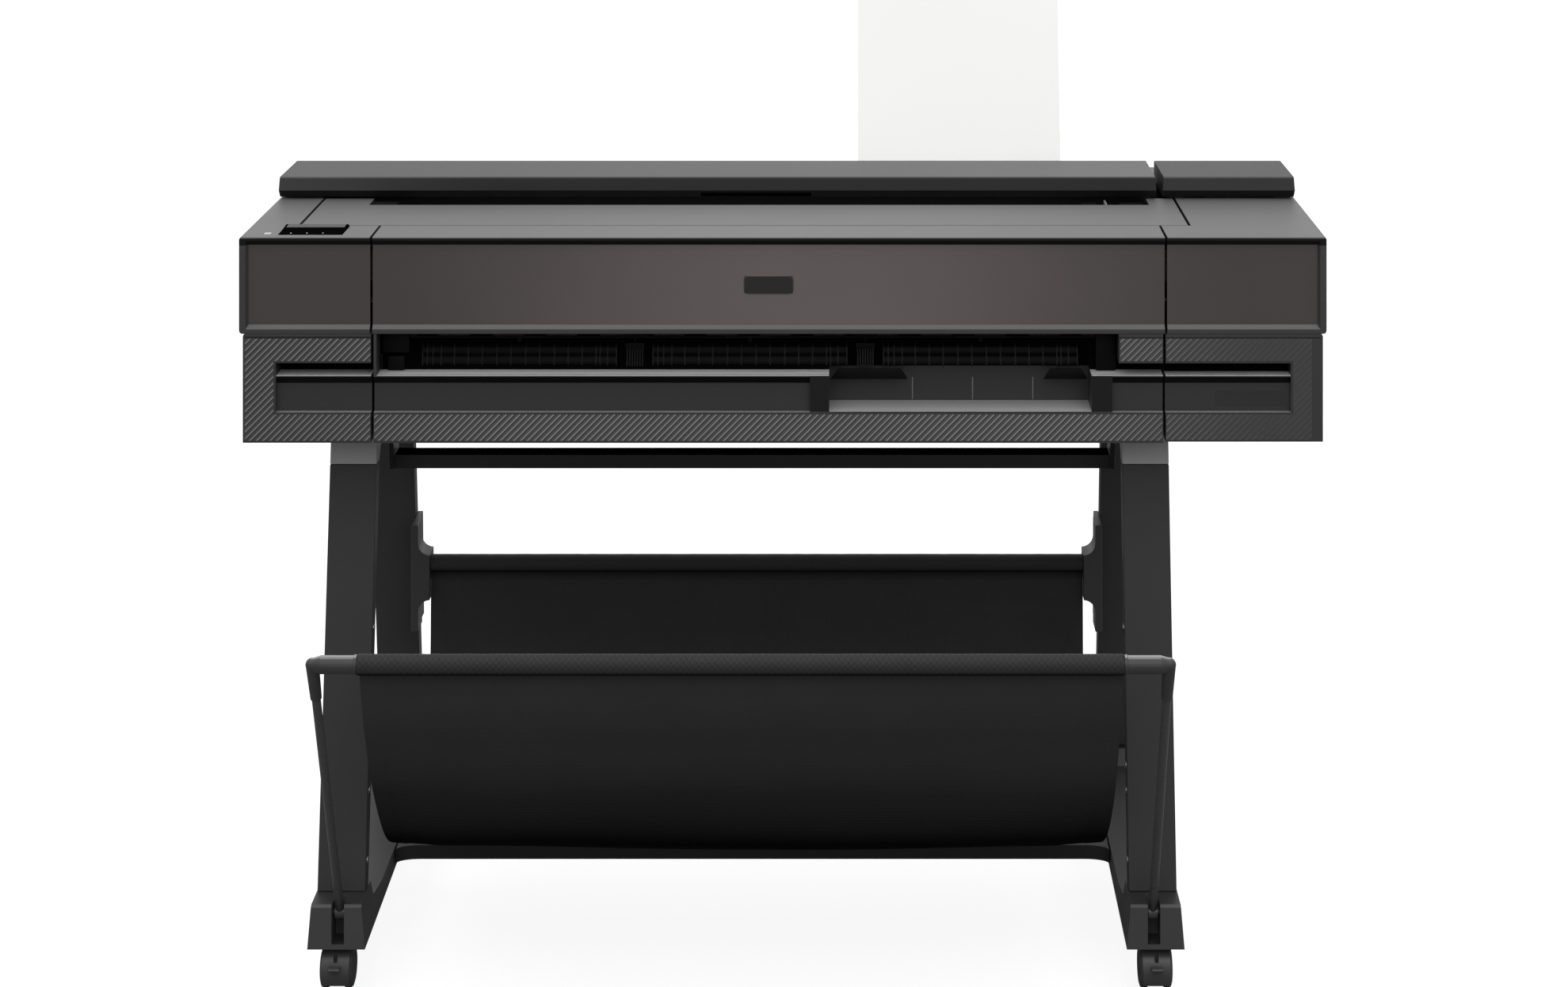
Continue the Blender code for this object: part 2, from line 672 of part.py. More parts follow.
# ---------------------------------------------------------------- mechanism
def chassis(material):
    """Sheet metal tray with end plates, roll holders and the cartridge dock."""
    half = LOWER_HALF - WALL - GAP
    back = BACK_Y - WALL - GAP
    z = LOWER_Z0
    tray_front = PANEL_BACK_Y + 0.0005
    piece = box(-half, half, tray_front, back, z, z + WALL)
    door_x = LOWER_SEAM_RIGHT + SEAM + 0.002
    add(piece, box(door_x, half, DOOR_BACK_Y + 0.0006, tray_front + 0.001, z, z + WALL))
    for side in (-1, 1):
        x0, x1 = sorted((side * PLATE_X, side * (PLATE_X + WALL)))
        outline = [(-0.075, z + 0.001), (-0.075, 0.770), (-0.060, 0.885)]
        outline += [(0.330, 0.885), (0.330, z + 0.001)]
        add(piece, prism_x(outline, x0, x1))
        for axis, radius in ((FEED_AXIS, 0.0055), ((FEED_AXIS[0], pinch_z()), 0.0035)):
            cut(piece, rod((x0 - 0.01, *axis), (x1 + 0.01, *axis), radius, SMALL_ROUND))
    y, roll_z = ROLL_AXIS
    for x in (-0.5535, 0.4645):
        add(piece, box(x, x + WALL, y - 0.030, y + 0.030, z + 0.001, roll_z + 0.012))
        cut(piece, rod((x - 0.01, y, roll_z), (x + 0.01, y, roll_z), SPINDLE_R + 0.0004))
        r = SPINDLE_R + 0.0004
        cut(piece, box(x - 0.01, x + 0.01, y - r, y + r, roll_z, roll_z + 0.03))
    add(piece, box(0.474, 0.634, -0.0435, -0.0405, z + 0.001, 0.742))
    return finish(piece, "chassis", material)


def pinch_z():
    return FEED_AXIS[1] + FEED_R + GAP + PINCH_R


def carriage_rail(material):
    x1 = PLATE_X - GAP
    profile = [
        (-0.040, 0.820),
        (-0.040, 0.846),
        (-0.052, 0.846),
        (-0.052, 0.852),
        (-0.040, 0.852),
        (-0.040, 0.880),
        (-0.015, 0.880),
        (-0.015, 0.877),
        (-0.037, 0.877),
        (-0.037, 0.823),
        (-0.015, 0.823),
        (-0.015, 0.820),
    ]
    return finish(prism_x(profile, -x1, x1), "carriage_rail", material)


def carriage(material):
    x0, x1 = CARRIAGE_X - CARRIAGE_HALF, CARRIAGE_X + CARRIAGE_HALF
    profile = [
        (-0.138, 0.793),
        (-0.140, 0.852),
        (-0.122, 0.880),
        (-0.062, 0.880),
        (-0.0535, 0.876),
        (-0.0535, 0.8575),
        (-0.0407, 0.8575),
        (-0.0407, 0.8525),
        (-0.0525, 0.8525),
        (-0.0525, 0.8455),
        (-0.0407, 0.8455),
        (-0.0407, 0.8385),
        (-0.0535, 0.8385),
        (-0.0535, 0.793),
        (-0.070, 0.793),
        (-0.072, 0.7885),
        (-0.112, 0.7885),
        (-0.114, 0.793),
    ]
    return finish(prism_x(profile, x0, x1), "carriage", material, (CARRIAGE_X, -0.046, 0.849))


def stadium(radius, half, z, count=12):
    points = []
    for side, start in ((1, -90), (-1, 90)):
        for k in range(count + 1):
            angle = math.radians(start + 180 * k / count)
            points.append((side * half + radius * math.cos(angle), z + radius * math.sin(angle)))
    return points


def drive_belt(material):
    inner = PULLEY_R + GAP
    piece = prism_y(stadium(inner + 0.0013, PULLEY_X, PULLEY_Z), -0.051, -0.045)
    cut(piece, prism_y(stadium(inner, PULLEY_X, PULLEY_Z), -0.06, -0.03))
    return finish(piece, "drive_belt", material)


def pulley(name, x, material):
    profile = [
        (0, 0.0095),
        (0.0012, 0.0095),
        (0.0012, PULLEY_R),
        (0.0080, PULLEY_R),
        (0.0080, 0.0025),
        (0.0118, 0.0025),
    ]
    centre = (x, -0.0525, PULLEY_Z)
    return finish(lathe(profile, centre, (0, 1, 0), SMALL_ROUND), name, material, centre)


def feed_roller(material):
    end = PLATE_X + WALL - 0.0005
    profile = [(-end, 0.005), (MEDIA_X0, 0.005), (MEDIA_X0, FEED_R)]
    profile += [(MEDIA_X1, FEED_R), (MEDIA_X1, 0.005), (end, 0.005)]
    piece = lathe(profile, (0, *FEED_AXIS), (1, 0, 0), ROUND)
    return finish(piece, "feed_roller", material, (0, *FEED_AXIS))


def stepped_roller(x0, x1, end0, end1, count, length, radius, shaft, axis, segments):
    pitch = (x1 - x0 - length) / (count - 1)
    profile = [(end0, shaft)]
    for k in range(count):
        start = x0 + k * pitch
        profile += [(start, shaft), (start, radius), (start + length, radius), (start + length, shaft)]
    profile.append((end1, shaft))
    return lathe(profile, (0, *axis), (1, 0, 0), segments)


def pinch_roller(material):
    axis = (FEED_AXIS[0], pinch_z())
    end = PLATE_X + WALL - 0.0005
    piece = stepped_roller(MEDIA_X0 + 0.01, MEDIA_X1 - 0.01, -end, end, 8, 0.050, PINCH_R, 0.003, axis, 10)
    return finish(piece, "pinch_roller", material, (0, *axis))


def output_roller(material):
    x0, x1 = EXIT_X0 + 0.004, EXIT_X1 - 0.004
    end0, end1 = EXIT_X0 - 0.002, EXIT_X1 + 0.006
    piece = stepped_roller(x0, x1, end0, end1, 14, 0.038, OUTPUT_R, 0.003, OUTPUT_AXIS, 12)
    return finish(piece, "output_roller", material, (0, *OUTPUT_AXIS))


def platen(material):
    profile = [
        (-0.0895, 0.768),
        (-0.0895, PLATEN_TOP - 0.002),
        (-0.0875, PLATEN_TOP),
        (-0.0385, PLATEN_TOP),
        (-0.0385, 0.768),
        (-0.0415, 0.768),
        (-0.0415, PLATEN_TOP - WALL),
        (-0.0865, PLATEN_TOP - WALL),
        (-0.0865, 0.768),
    ]
    return finish(prism_x(profile, MEDIA_X0 - 0.005, MEDIA_X1 + 0.005), "platen", material)


def service_station(material):
    x0, x1 = CARRIAGE_X - 0.058, CARRIAGE_X + 0.058
    piece = box(x0, x1, -0.124, -0.060, 0.745, 0.782)
    cut(piece, box(x0 + 0.004, x1 - 0.004, -0.120, -0.064, 0.776, 0.80))
    for k in range(4):
        x = x0 + 0.012 + k * 0.026
        add(piece, box(x, x + 0.014, -0.115, -0.069, 0.775, 0.786))
    return finish(piece, "service_station", material)


def cartridge(index, name, material):
    sx, sy, sz = CARTRIDGE_SIZE
    x0 = CARTRIDGE_X0 + index * CARTRIDGE_PITCH
    y0, z0 = -0.124, LOWER_Z0 + WALL + GAP
    profile = [
        (y0, z0),
        (y0, z0 + 0.030),
        (y0 + 0.008, z0 + 0.034),
        (y0 + 0.008, z0 + 0.050),
        (y0, z0 + 0.054),
        (y0, z0 + sz - 0.003),
        (y0 + 0.003, z0 + sz),
        (y0 + sy, z0 + sz),
        (y0 + sy, z0),
    ]
    return finish(prism_x(profile, x0, x0 + sx), name, material, (x0 + sx / 2, y0, z0))


def roll_spindle(material):
    profile = [
        (-0.562, SPINDLE_R - 0.001),
        (-0.561, SPINDLE_R),
        (-0.548, SPINDLE_R),
        (-0.548, 0.014),
        (-0.538, 0.014),
        (-0.538, 0.010),
        (-0.507, 0.010),
        (-0.507, 0.044),
        (-0.5025, 0.044),
        (-0.5025, CORE_R - 0.0005),
        (0.4155, CORE_R - 0.0005),
        (0.4155, 0.044),
        (0.420, 0.044),
        (0.420, 0.010),
        (0.458, 0.010),
        (0.458, SPINDLE_R),
        (0.475, SPINDLE_R),
        (0.476, SPINDLE_R - 0.001),
    ]
    piece = lathe(profile, (0, *ROLL_AXIS), (1, 0, 0), ROUND)
    return finish(piece, "roll_spindle", material, (0, *ROLL_AXIS))


def media_roll(material):
    y, z = ROLL_AXIS
    piece = rod((MEDIA_X0, y, z), (MEDIA_X1, y, z), ROLL_R, 36)
    cut(piece, rod((MEDIA_X0 - 0.01, y, z), (MEDIA_X1 + 0.01, y, z), CORE_R, ROUND))
    return finish(piece, "media_roll", material, (0, y, z))


def loaded_sheet(material):
    along = Vector((math.sin(SHEET_LEAN), math.cos(SHEET_LEAN))) * SHEET_LENGTH
    across = Vector((math.cos(SHEET_LEAN), -math.sin(SHEET_LEAN))) * SHEET_THICK / 2
    foot = Vector(SHEET_FOOT)
    profile = [foot - across, foot + across, foot + along + across, foot + along - across]
    piece = prism_x([tuple(p) for p in profile], SHEET_X0, SHEET_X1)
    return finish(piece, "loaded_sheet", material, ((SHEET_X0 + SHEET_X1) / 2, *SHEET_FOOT))


# ---------------------------------------------------------------- stand
def foot(side, name, material):
    x0, x1 = side_span(side, FOOT_IN, FOOT_OUT)
    profile = [
        (FOOT_Y0, FOOT_Z0),
        (FOOT_Y0, FOOT_Z1 - 0.003),
        (FOOT_Y0 + 0.003, FOOT_Z1),
        (-0.136, FOOT_Z1),
        (-0.124, 0.088),
        (-0.060, 0.080),
        (0.060, 0.079),
        (0.240, 0.082),
        (0.300, 0.090),
        (0.314, FOOT_Z1),
        (FOOT_Y1 - 0.004, FOOT_Z1),
        (FOOT_Y1, FOOT_Z1 - 0.004),
        (FOOT_Y1, FOOT_Z0),
    ]
    piece = prism_x(profile, x0, x1)
    middle = (x0 + x1) / 2
    for vertex in piece.data.vertices:
        inset = FOOT_TAPER * (vertex.co.z - FOOT_Z0) / (FOOT_Z1 - FOOT_Z0)
        vertex.co.x += inset if vertex.co.x < middle else -inset
    x = STAND_X + side * SLOT_X
    half = SLOT_WIDTH / 2
    cut(piece, box(x - half, x + half, FOOT_Y0 - 0.01, SLOT_BACK_Y, FOOT_Z0 + 0.006, FOOT_Z1 + 0.01))
    cut(piece, rod((x - 0.012, *PIVOT), (x + 0.012, *PIVOT), 0.0034, SMALL_ROUND))
    for y in (FRONT_SWIVEL_Y, REAR_SWIVEL_Y):
        cx = STAND_X + side * CASTER_X
        cut(piece, rod((cx, y, FOOT_Z0 - 0.01), (cx, y, FOOT_Z0 + 0.018), 0.0044, SMALL_ROUND))
    return finish(piece, name, material)


def leg(side, name, top_y, foot_y, material):
    x0, x1 = side_span(side, LEG_IN, LEG_OUT)
    profile = [
        (top_y, LEG_TOP_Z),
        (top_y + LEG_DEPTH, LEG_TOP_Z),
        (foot_y + LEG_DEPTH, LEG_FOOT_Z),
        (foot_y, LEG_FOOT_Z),
    ]
    piece = prism_x(profile, x0, x1)
    run = (foot_y - top_y) / (LEG_TOP_Z - LEG_FOOT_Z)
    bore = [
        (top_y + LEG_WALL - 0.01 * run, LEG_TOP_Z + 0.01),
        (top_y + LEG_DEPTH - LEG_WALL - 0.01 * run, LEG_TOP_Z + 0.01),
        (foot_y + LEG_DEPTH - LEG_WALL + 0.01 * run, LEG_FOOT_Z - 0.01),
        (foot_y + LEG_WALL + 0.01 * run, LEG_FOOT_Z - 0.01),
    ]
    cut(piece, prism_x(bore, x0 + LEG_WALL, x1 - LEG_WALL))
    return finish(piece, name, material)


def leg_bracket(side, name, material):
    x0, x1 = side_span(side, LEG_IN, LEG_OUT)
    low, high = LEG_TOP_Z + GAP, LOWER_Z0 - GAP
    step = 0.0094
    web = 0.616
    profile = [
        (FRONT_LEG_TOP_Y, low),
        (FRONT_LEG_TOP_Y + step, high),
        (REAR_LEG_TOP_Y + LEG_DEPTH - step, high),
        (REAR_LEG_TOP_Y + LEG_DEPTH, low),
        (REAR_LEG_TOP_Y, low),
        (REAR_LEG_TOP_Y - 0.010, web),
        (FRONT_LEG_TOP_Y + LEG_DEPTH + 0.010, web),
        (FRONT_LEG_TOP_Y + LEG_DEPTH, low),
    ]
    return finish(prism_x(profile, x0, x1), name, material)


def upper_crossbeam(material):
    half = LEG_IN - GAP
    piece = box(STAND_X - half, STAND_X + half, BEAM_Y0, BEAM_Y1, BEAM_Z0, BEAM_Z1)
    for side in (-1, 1):
        x0, x1 = side_span(side, half - 0.006, half)
        plate = [
            (BEAM_Y0 - 0.012, LOWER_Z0 - 0.004),
            (BEAM_Y1 + 0.012, LOWER_Z0 - 0.004),
            (BEAM_Y1 + 0.004, BEAM_Z0),
            (BEAM_Y0 - 0.004, BEAM_Z0),
        ]
        add(piece, prism_x(plate, x0, x1))
    return finish(piece, "upper_crossbeam", material)


def lower_crossbar(material):
    half = FOOT_IN - GAP
    reach, grow = BAR_FLARE
    outline = []
    for side in (-1, 1):
        flare = []
        for k in range(9):
            angle = math.radians(90 * k / 8)
            out = half - reach + reach * math.sin(angle)
            flare.append((STAND_X + side * out, BAR_Y0 - grow * (1 - math.cos(angle))))
        outline += flare if side > 0 else list(reversed(flare))
    outline += [(x, BAR_Y0 + BAR_Y1 - y) for x, y in reversed(outline)]
    piece = prism_z(outline, BAR_Z0, BAR_Z1)
    return finish(piece, "lower_crossbar", material)


def bar_bracket(side, name, material):
    """Plate on the rear leg with a flared arm that holds the rear basket bar."""
    half = LEG_IN - GAP
    y, z = REAR_BAR
    outline = [(half - 0.006, z + BRACKET_TOP), (BRACKET_PLATE, z + BRACKET_TOP)]
    for k in range(7):
        angle = math.radians(90 * k / 6)
        x = BRACKET_PLATE - (BRACKET_PLATE - BRACKET_TIP) * (1 - math.cos(angle))
        outline.append((x, z + 0.030 - 0.016 * math.sin(angle)))
    for k in range(6, -1, -1):
        angle = math.radians(90 * k / 6)
        x = BRACKET_PLATE - (BRACKET_PLATE - BRACKET_TIP) * (1 - math.cos(angle))
        outline.append((x, z - 0.062 + 0.016 * math.sin(angle)))
    outline += [(BRACKET_PLATE, z - BRACKET_FOOT), (half - 0.006, z - BRACKET_FOOT)]
    outline = [(STAND_X + side * x, height) for x, height in outline]
    piece = prism_y(outline, y - 0.014, y + 0.028)
    x0, x1 = side_span(side, half - 0.0065, half)
    leaf = [(y - 0.014, z - BRACKET_FOOT), (y - 0.014, z + BRACKET_TOP)]
    leaf += [(y + 0.0565, z + BRACKET_TOP), (y + 0.0665, z - BRACKET_FOOT)]
    add(piece, prism_x(leaf, x0, x1))
    a, b = side_span(side, BRACKET_TIP - 0.005, BRACKET_TIP + 0.012)
    cut(piece, rod((a, y, z), (b, y, z), REAR_BAR_R + GAP))
    return finish(piece, name, material)


def rear_basket_bar(material):
    half = 0.4475
    piece = rod((STAND_X - half, *REAR_BAR), (STAND_X + half, *REAR_BAR), REAR_BAR_R)
    return finish(piece, "rear_basket_bar", material)


def frame_direction():
    """Unit vector from the foot pivot up to the front bar."""
    rise = Vector((0, FRONT_BAR[0] - PIVOT[0], FRONT_BAR[1] - PIVOT[1]))
    return rise.normalized()


def front_basket_bar(material):
    inner, outer = ELBOW_START - 0.0006, ELBOW_START + 0.015
    profile = [
        (-outer, BAR_STUB_R),
        (-inner, BAR_STUB_R),
        (-inner, FRONT_BAR_R),
        (inner, FRONT_BAR_R),
        (inner, BAR_STUB_R),
        (outer, BAR_STUB_R),
    ]
    piece = lathe(profile, (STAND_X, *FRONT_BAR), (1, 0, 0), ROUND)
    return finish(piece, "front_basket_bar", material, (STAND_X, *PIVOT))


def elbow_end(side):
    corner = Vector((STAND_X + side * SLOT_X, *FRONT_BAR))
    return corner - frame_direction() * ELBOW_DROP


def basket_elbow(side, name, material):
    corner = Vector((STAND_X + side * SLOT_X, *FRONT_BAR))
    start = Vector((STAND_X + side * ELBOW_START, *FRONT_BAR))
    length = SLOT_X - ELBOW_START
    arm = [(0, ELBOW_R), (length - 0.0095, ELBOW_R), (length - 0.0005, ELBOW_NECK_R)]
    piece = lathe(arm, start, (side, 0, 0))
    add(piece, ball(corner, ELBOW_NECK_R + 0.0002, 16))
    drop = [(0, ELBOW_NECK_R - 0.0001), (ELBOW_DROP, ELBOW_TIP_R)]
    add(piece, lathe(drop, corner, -frame_direction()))
    socket = start + Vector((side * 0.016, 0, 0))
    before = start - Vector((side * 0.01, 0, 0))
    cut(piece, rod(before, socket, BAR_STUB_R + GAP))
    return finish(piece, name, material, (STAND_X, *PIVOT))


def basket_rod(side, name, material):
    x = STAND_X + side * SLOT_X
    top = elbow_end(side) - frame_direction() * GAP
    bottom = Vector((x, *PIVOT)) + frame_direction() * 0.004
    piece = rod(bottom, top, ROD_R)
    add(piece, rod((x - 0.0055, *PIVOT), (x + 0.0055, *PIVOT), 0.0082))
    add(piece, rod((x - 0.0112, *PIVOT), (x + 0.0112, *PIVOT), 0.0030, SMALL_ROUND))
    return finish(piece, name, material, (STAND_X, *PIVOT))


def smooth_curve(points, per_span=4):
    """Catmull-Rom points through a chain of (y, z)."""
    chain = [Vector(p) for p in points]
    chain = [2 * chain[0] - chain[1]] + chain + [2 * chain[-1] - chain[-2]]
    curve = []
    for a, b, c, d in zip(chain, chain[1:], chain[2:], chain[3:]):
        for k in range(per_span):
            t = k / per_span
            linear = 2 * b + (c - a) * t
            squared = (2 * a - 5 * b + 4 * c - d) * t**2
            cubed = (3 * b - a - 3 * c + d) * t**3
            curve.append((linear + squared + cubed) / 2)
    curve.append(chain[-2])
    return curve


def basket_fabric(material):
    curve = smooth_curve(FABRIC_CURVE, 3)
    upper, lower = [], []
    for i, point in enumerate(curve):
        ahead = curve[min(i + 1, len(curve) - 1)] - curve[max(i - 1, 0)]
        normal = Vector((-ahead.y, ahead.x)).normalized() * FABRIC_THICK / 2
        upper.append(tuple(point + normal))
        lower.append(tuple(point - normal))
    x0, x1 = STAND_X - FABRIC_HALF, STAND_X + FABRIC_HALF
    piece = prism_x(upper + list(reversed(lower)), x0, x1)
    add(piece, rod((x0, *REAR_BAR), (x1, *REAR_BAR), REAR_SLEEVE_R))
    cut(piece, rod((x0 - 0.01, *REAR_BAR), (x1 + 0.01, *REAR_BAR), REAR_BAR_R + GAP))
    return finish(piece, "basket_fabric", material)


# ---------------------------------------------------------------- casters
def arc(radius, start, stop, count, centre):
    points = []
    for k in range(count + 1):
        angle = math.radians(start + (stop - start) * k / count)
        points.append((centre[0] - radius * math.cos(angle), centre[1] + radius * math.sin(angle)))
    return points


def caster_housing(side, swivel_y, name, material):
    x = STAND_X + side * CASTER_X
    wheel = (swivel_y - CASTER_TRAIL, WHEEL_R)
    web = arc(0.0268, -15, 195, 14, wheel)
    piece = prism_x(web, x - 0.0072, x + 0.0072)
    hood = arc(HOOD_R, -30, 150, 12, wheel) + list(reversed(arc(0.0263, -30, 150, 12, wheel)))
    add(piece, prism_x(hood, x - 0.0165, x + 0.0165))
    neck = [(0, 0.0085), (0.0127, 0.0085), (0.0127, 0.004), (0.028, 0.004)]
    add(piece, lathe(neck, (x, swivel_y, 0.043), (0, 0, 1), SMALL_ROUND))
    cut(piece, rod((x - 0.02, *wheel), (x + 0.02, *wheel), WHEEL_AXLE_R + GAP, SMALL_ROUND))
    notch = [(x - 0.0024, 0.0385), (x + 0.0024, 0.0385), (x + 0.0024, 0.047), (x - 0.0024, 0.047)]
    cut(piece, prism_y(notch, wheel[0] - 0.04, wheel[0] - 0.016))
    return finish(piece, name, material, (x, swivel_y, FOOT_Z0))


def caster_wheels(side, swivel_y, name, material):
    x = STAND_X + side * CASTER_X
    centre = (x, swivel_y - CASTER_TRAIL, WHEEL_R)
    tread = WHEEL_R / math.cos(math.pi / ROUND)
    half = [
        (WHEEL_IN, WHEEL_AXLE_R),
        (WHEEL_IN, WHEEL_R - 0.0015),
        (WHEEL_IN + 0.0015, tread),
        (WHEEL_OUT - 0.004, tread),
        (WHEEL_OUT - 0.0012, WHEEL_R - 0.002),
        (WHEEL_OUT, WHEEL_R - 0.006),
        (WHEEL_OUT - 0.0015, 0.012),
        (WHEEL_OUT - 0.0015, 0.003),
    ]
    profile = [(-along, radius) for along, radius in reversed(half)] + half
    return finish(lathe(profile, centre, (1, 0, 0), ROUND), name, material, centre)


def brake_lever(side, name, material):
    x = STAND_X + side * CASTER_X
    y = FRONT_SWIVEL_Y - CASTER_TRAIL - 0.0292
    pedal = [(y, 0.0365), (y - 0.0078, 0.0358), (y - 0.0088, 0.0345), (y - 0.008, 0.0325), (y, 0.0318)]
    nose = [(y + 0.0017, 0.0342)]
    piece = prism_x(pedal + nose, x - 0.0068, x + 0.0068)
    return finish(piece, name, material, (x, y - 0.0008, 0.0342))


# ---------------------------------------------------------------- assembly
def build_body():
    shell = make_material("shell_dark", (0.060, 0.059, 0.058), 0.45)
    top = make_material("shell_top", (0.17, 0.17, 0.17), 0.5)
    black = make_material("black_plastic", (0.012, 0.012, 0.013), 0.4)
    metal = make_material("sheet_metal", (0.45, 0.46, 0.47), 0.4, 0.9)
    left_upper_cover(shell)
    right_upper_cover(shell)
    front_cover(shell)
    top_cover(top)
    roll_cover(shell)
    right_hood_cover(shell)
    rear_cover(shell)
    control_display(black)
    power_button(make_material("button_grey", (0.55, 0.56, 0.57), 0.4))
    left_lower_cover(shell)
    right_lower_cover(shell)
    lower_front_panel(shell)
    ink_door(shell)
    chassis(metal)
    carriage_rail(metal)


def build_mechanism():
    black = make_material("mechanism_black", (0.015, 0.015, 0.016), 0.5)
    steel = make_material("turned_steel", (0.50, 0.50, 0.51), 0.3, 1.0)
    rubber = make_material("roller_rubber", (0.03, 0.03, 0.03), 0.8)
    carriage(make_material("carriage_black", (0.02, 0.02, 0.022), 0.4))
    drive_belt(rubber)
    pulley("motor_pulley", PULLEY_X, steel)
    pulley("idler_pulley", -PULLEY_X, steel)
    feed_roller(rubber)
    pinch_roller(steel)
    output_roller(rubber)
    platen(black)
    service_station(black)
    inks = (
        ("cartridge_black", (0.02, 0.02, 0.02)),
        ("cartridge_cyan", (0.02, 0.25, 0.45)),
        ("cartridge_magenta", (0.45, 0.03, 0.18)),
        ("cartridge_yellow", (0.65, 0.50, 0.04)),
    )
    for index, (name, colour) in enumerate(inks):
        cartridge(index, name, make_material(name + "_plastic", colour, 0.4))
    roll_spindle(black)
    paper = make_material("paper_white", (0.85, 0.85, 0.84), 0.9)
    media_roll(paper)
    loaded_sheet(paper)


def build_stand():
    paint = make_material("stand_paint", (0.035, 0.035, 0.036), 0.5, 0.2)
    bar = make_material("bar_paint", (0.02, 0.02, 0.021), 0.4, 0.3)
    plastic = make_material("stand_plastic", (0.04, 0.04, 0.041), 0.5)
    for side, word in ((-1, "left"), (1, "right")):
        foot(side, word + "_foot", plastic)
        leg(side, word + "_front_leg", FRONT_LEG_TOP_Y, FRONT_LEG_FOOT_Y, paint)
        leg(side, word + "_rear_leg", REAR_LEG_TOP_Y, REAR_LEG_FOOT_Y, paint)
        leg_bracket(side, word + "_leg_bracket", plastic)
        bar_bracket(side, word + "_bar_bracket", plastic)
        basket_elbow(side, word + "_basket_elbow", plastic)
        basket_rod(side, word + "_basket_rod", bar)
    upper_crossbeam(paint)
    lower_crossbar(paint)
    rear_basket_bar(bar)
    front_basket_bar(bar)
    basket_fabric(make_material("basket_cloth", (0.012, 0.012, 0.013), 0.9))


def build_casters():
    plastic = make_material("caster_plastic", (0.05, 0.05, 0.051), 0.45)
    tread = make_material("caster_tread", (0.03, 0.03, 0.03), 0.7)
    for side, word in ((-1, "left"), (1, "right")):
        for swivel_y, place in ((FRONT_SWIVEL_Y, "front"), (REAR_SWIVEL_Y, "rear")):
            label = place + "_" + word
            caster_housing(side, swivel_y, label + "_caster_housing", plastic)
            caster_wheels(side, swivel_y, label + "_caster_wheels", tread)
        brake_lever(side, word + "_brake_lever", plastic)


for leftover in list(bpy.data.objects):
    bpy.data.objects.remove(leftover)
build_body()
build_mechanism()
build_stand()
build_casters()
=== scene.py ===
"""Visual model of a wide inkjet plotter on its stand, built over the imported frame."""
import math
import random

import bmesh
import bpy
import numpy as np
from mathutils import Matrix, Vector


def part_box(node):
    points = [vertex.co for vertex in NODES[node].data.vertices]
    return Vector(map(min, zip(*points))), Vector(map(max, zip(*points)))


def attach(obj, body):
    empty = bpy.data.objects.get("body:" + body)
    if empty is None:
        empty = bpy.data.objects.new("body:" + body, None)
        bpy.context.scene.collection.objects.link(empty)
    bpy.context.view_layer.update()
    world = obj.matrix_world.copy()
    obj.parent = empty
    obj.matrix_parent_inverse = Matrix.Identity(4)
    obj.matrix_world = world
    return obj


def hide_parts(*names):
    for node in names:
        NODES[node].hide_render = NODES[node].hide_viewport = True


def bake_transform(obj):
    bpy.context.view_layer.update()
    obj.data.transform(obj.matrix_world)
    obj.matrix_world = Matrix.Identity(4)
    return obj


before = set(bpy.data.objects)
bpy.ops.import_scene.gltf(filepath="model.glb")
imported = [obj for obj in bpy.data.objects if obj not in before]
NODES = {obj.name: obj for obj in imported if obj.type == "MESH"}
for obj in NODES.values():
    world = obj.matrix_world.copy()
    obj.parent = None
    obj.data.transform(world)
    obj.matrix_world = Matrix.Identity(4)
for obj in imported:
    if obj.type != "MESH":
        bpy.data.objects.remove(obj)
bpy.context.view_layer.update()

# ---- places, metres
FRONT_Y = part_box("front_cover")[0].y
UPPER_HALF = 0.6585
LOWER_Z0 = 0.648
GROOVE_Z = 0.7745
FRAME_SIDE = 0.0077
PANEL_Z = (0.7905, 0.8875)
BADGE = ((-0.0468, 0.0122), (0.8281, 0.8491))
RECESS_X = (-0.614, 0.6153)
RECESS_Z = (0.685, 0.7446)
LIP_Z = (0.7190, 0.7293)
LIP_TOP_Z = 0.7298
POSTS = ((0.033, 0.056), (0.374, 0.399))
POST_Z = (0.6860, 0.7290)
GRIP_X = (-0.1125, 0.0314)
GRIP_TOP_Z = 0.9058
LID_FRONT = 0.0958
HOOD_X = 0.482
RECESS_Y = -0.1505
EXIT_X = (-0.492, 0.407)
EXIT_FOOT = (-0.126, 0.7293)
EXIT_HEAD = (-0.113, 0.762)
TRAY_Y = -0.1013
TRAY_FLOOR_Z = 0.686
LOWER_END_X = 0.641
SCREEN_RIM = ((-0.6105, -0.5400), (-0.1040, -0.0885))
SCREEN_DOTS = ((-0.600, -0.5805, -0.561), (-0.1345, -0.1325))
BACK_Y = 0.342
STAND_X = -0.043
LEG_TOP = (-0.0785, 0.6005)
LEG_BASE = (-0.1695, 0.1093)
LEG_IN = 0.461
FABRIC_HALF = 0.4355
FRONT_BAR = (-0.3835, 0.454)
REAR_BAR = (0.2335, 0.386)
ROLL_AXIS = (0.150, 0.800)
SHEET_HEIGHT = 0.4319

RIB_PITCH = 0.0082
RIB_HEIGHT = 0.0008
COMB_MODULE = 0.2815
COMB_CENTRE = -0.1814

GRAIN_DEPTH = 0.00004
EDGE_WIDTH = 0.0008
EYE = (0.0806, -3.8995, 1.618)


# ---- node toolkit
def tone(red, green=None, blue=None):
    """Linear colour from screen values 0 to 255."""
    values = (red, red if green is None else green, red if blue is None else blue)
    linear = [((v / 255 + 0.055) / 1.055) ** 2.4 if v > 10 else v / 255 / 12.92 for v in values]
    return (*linear, 1.0)


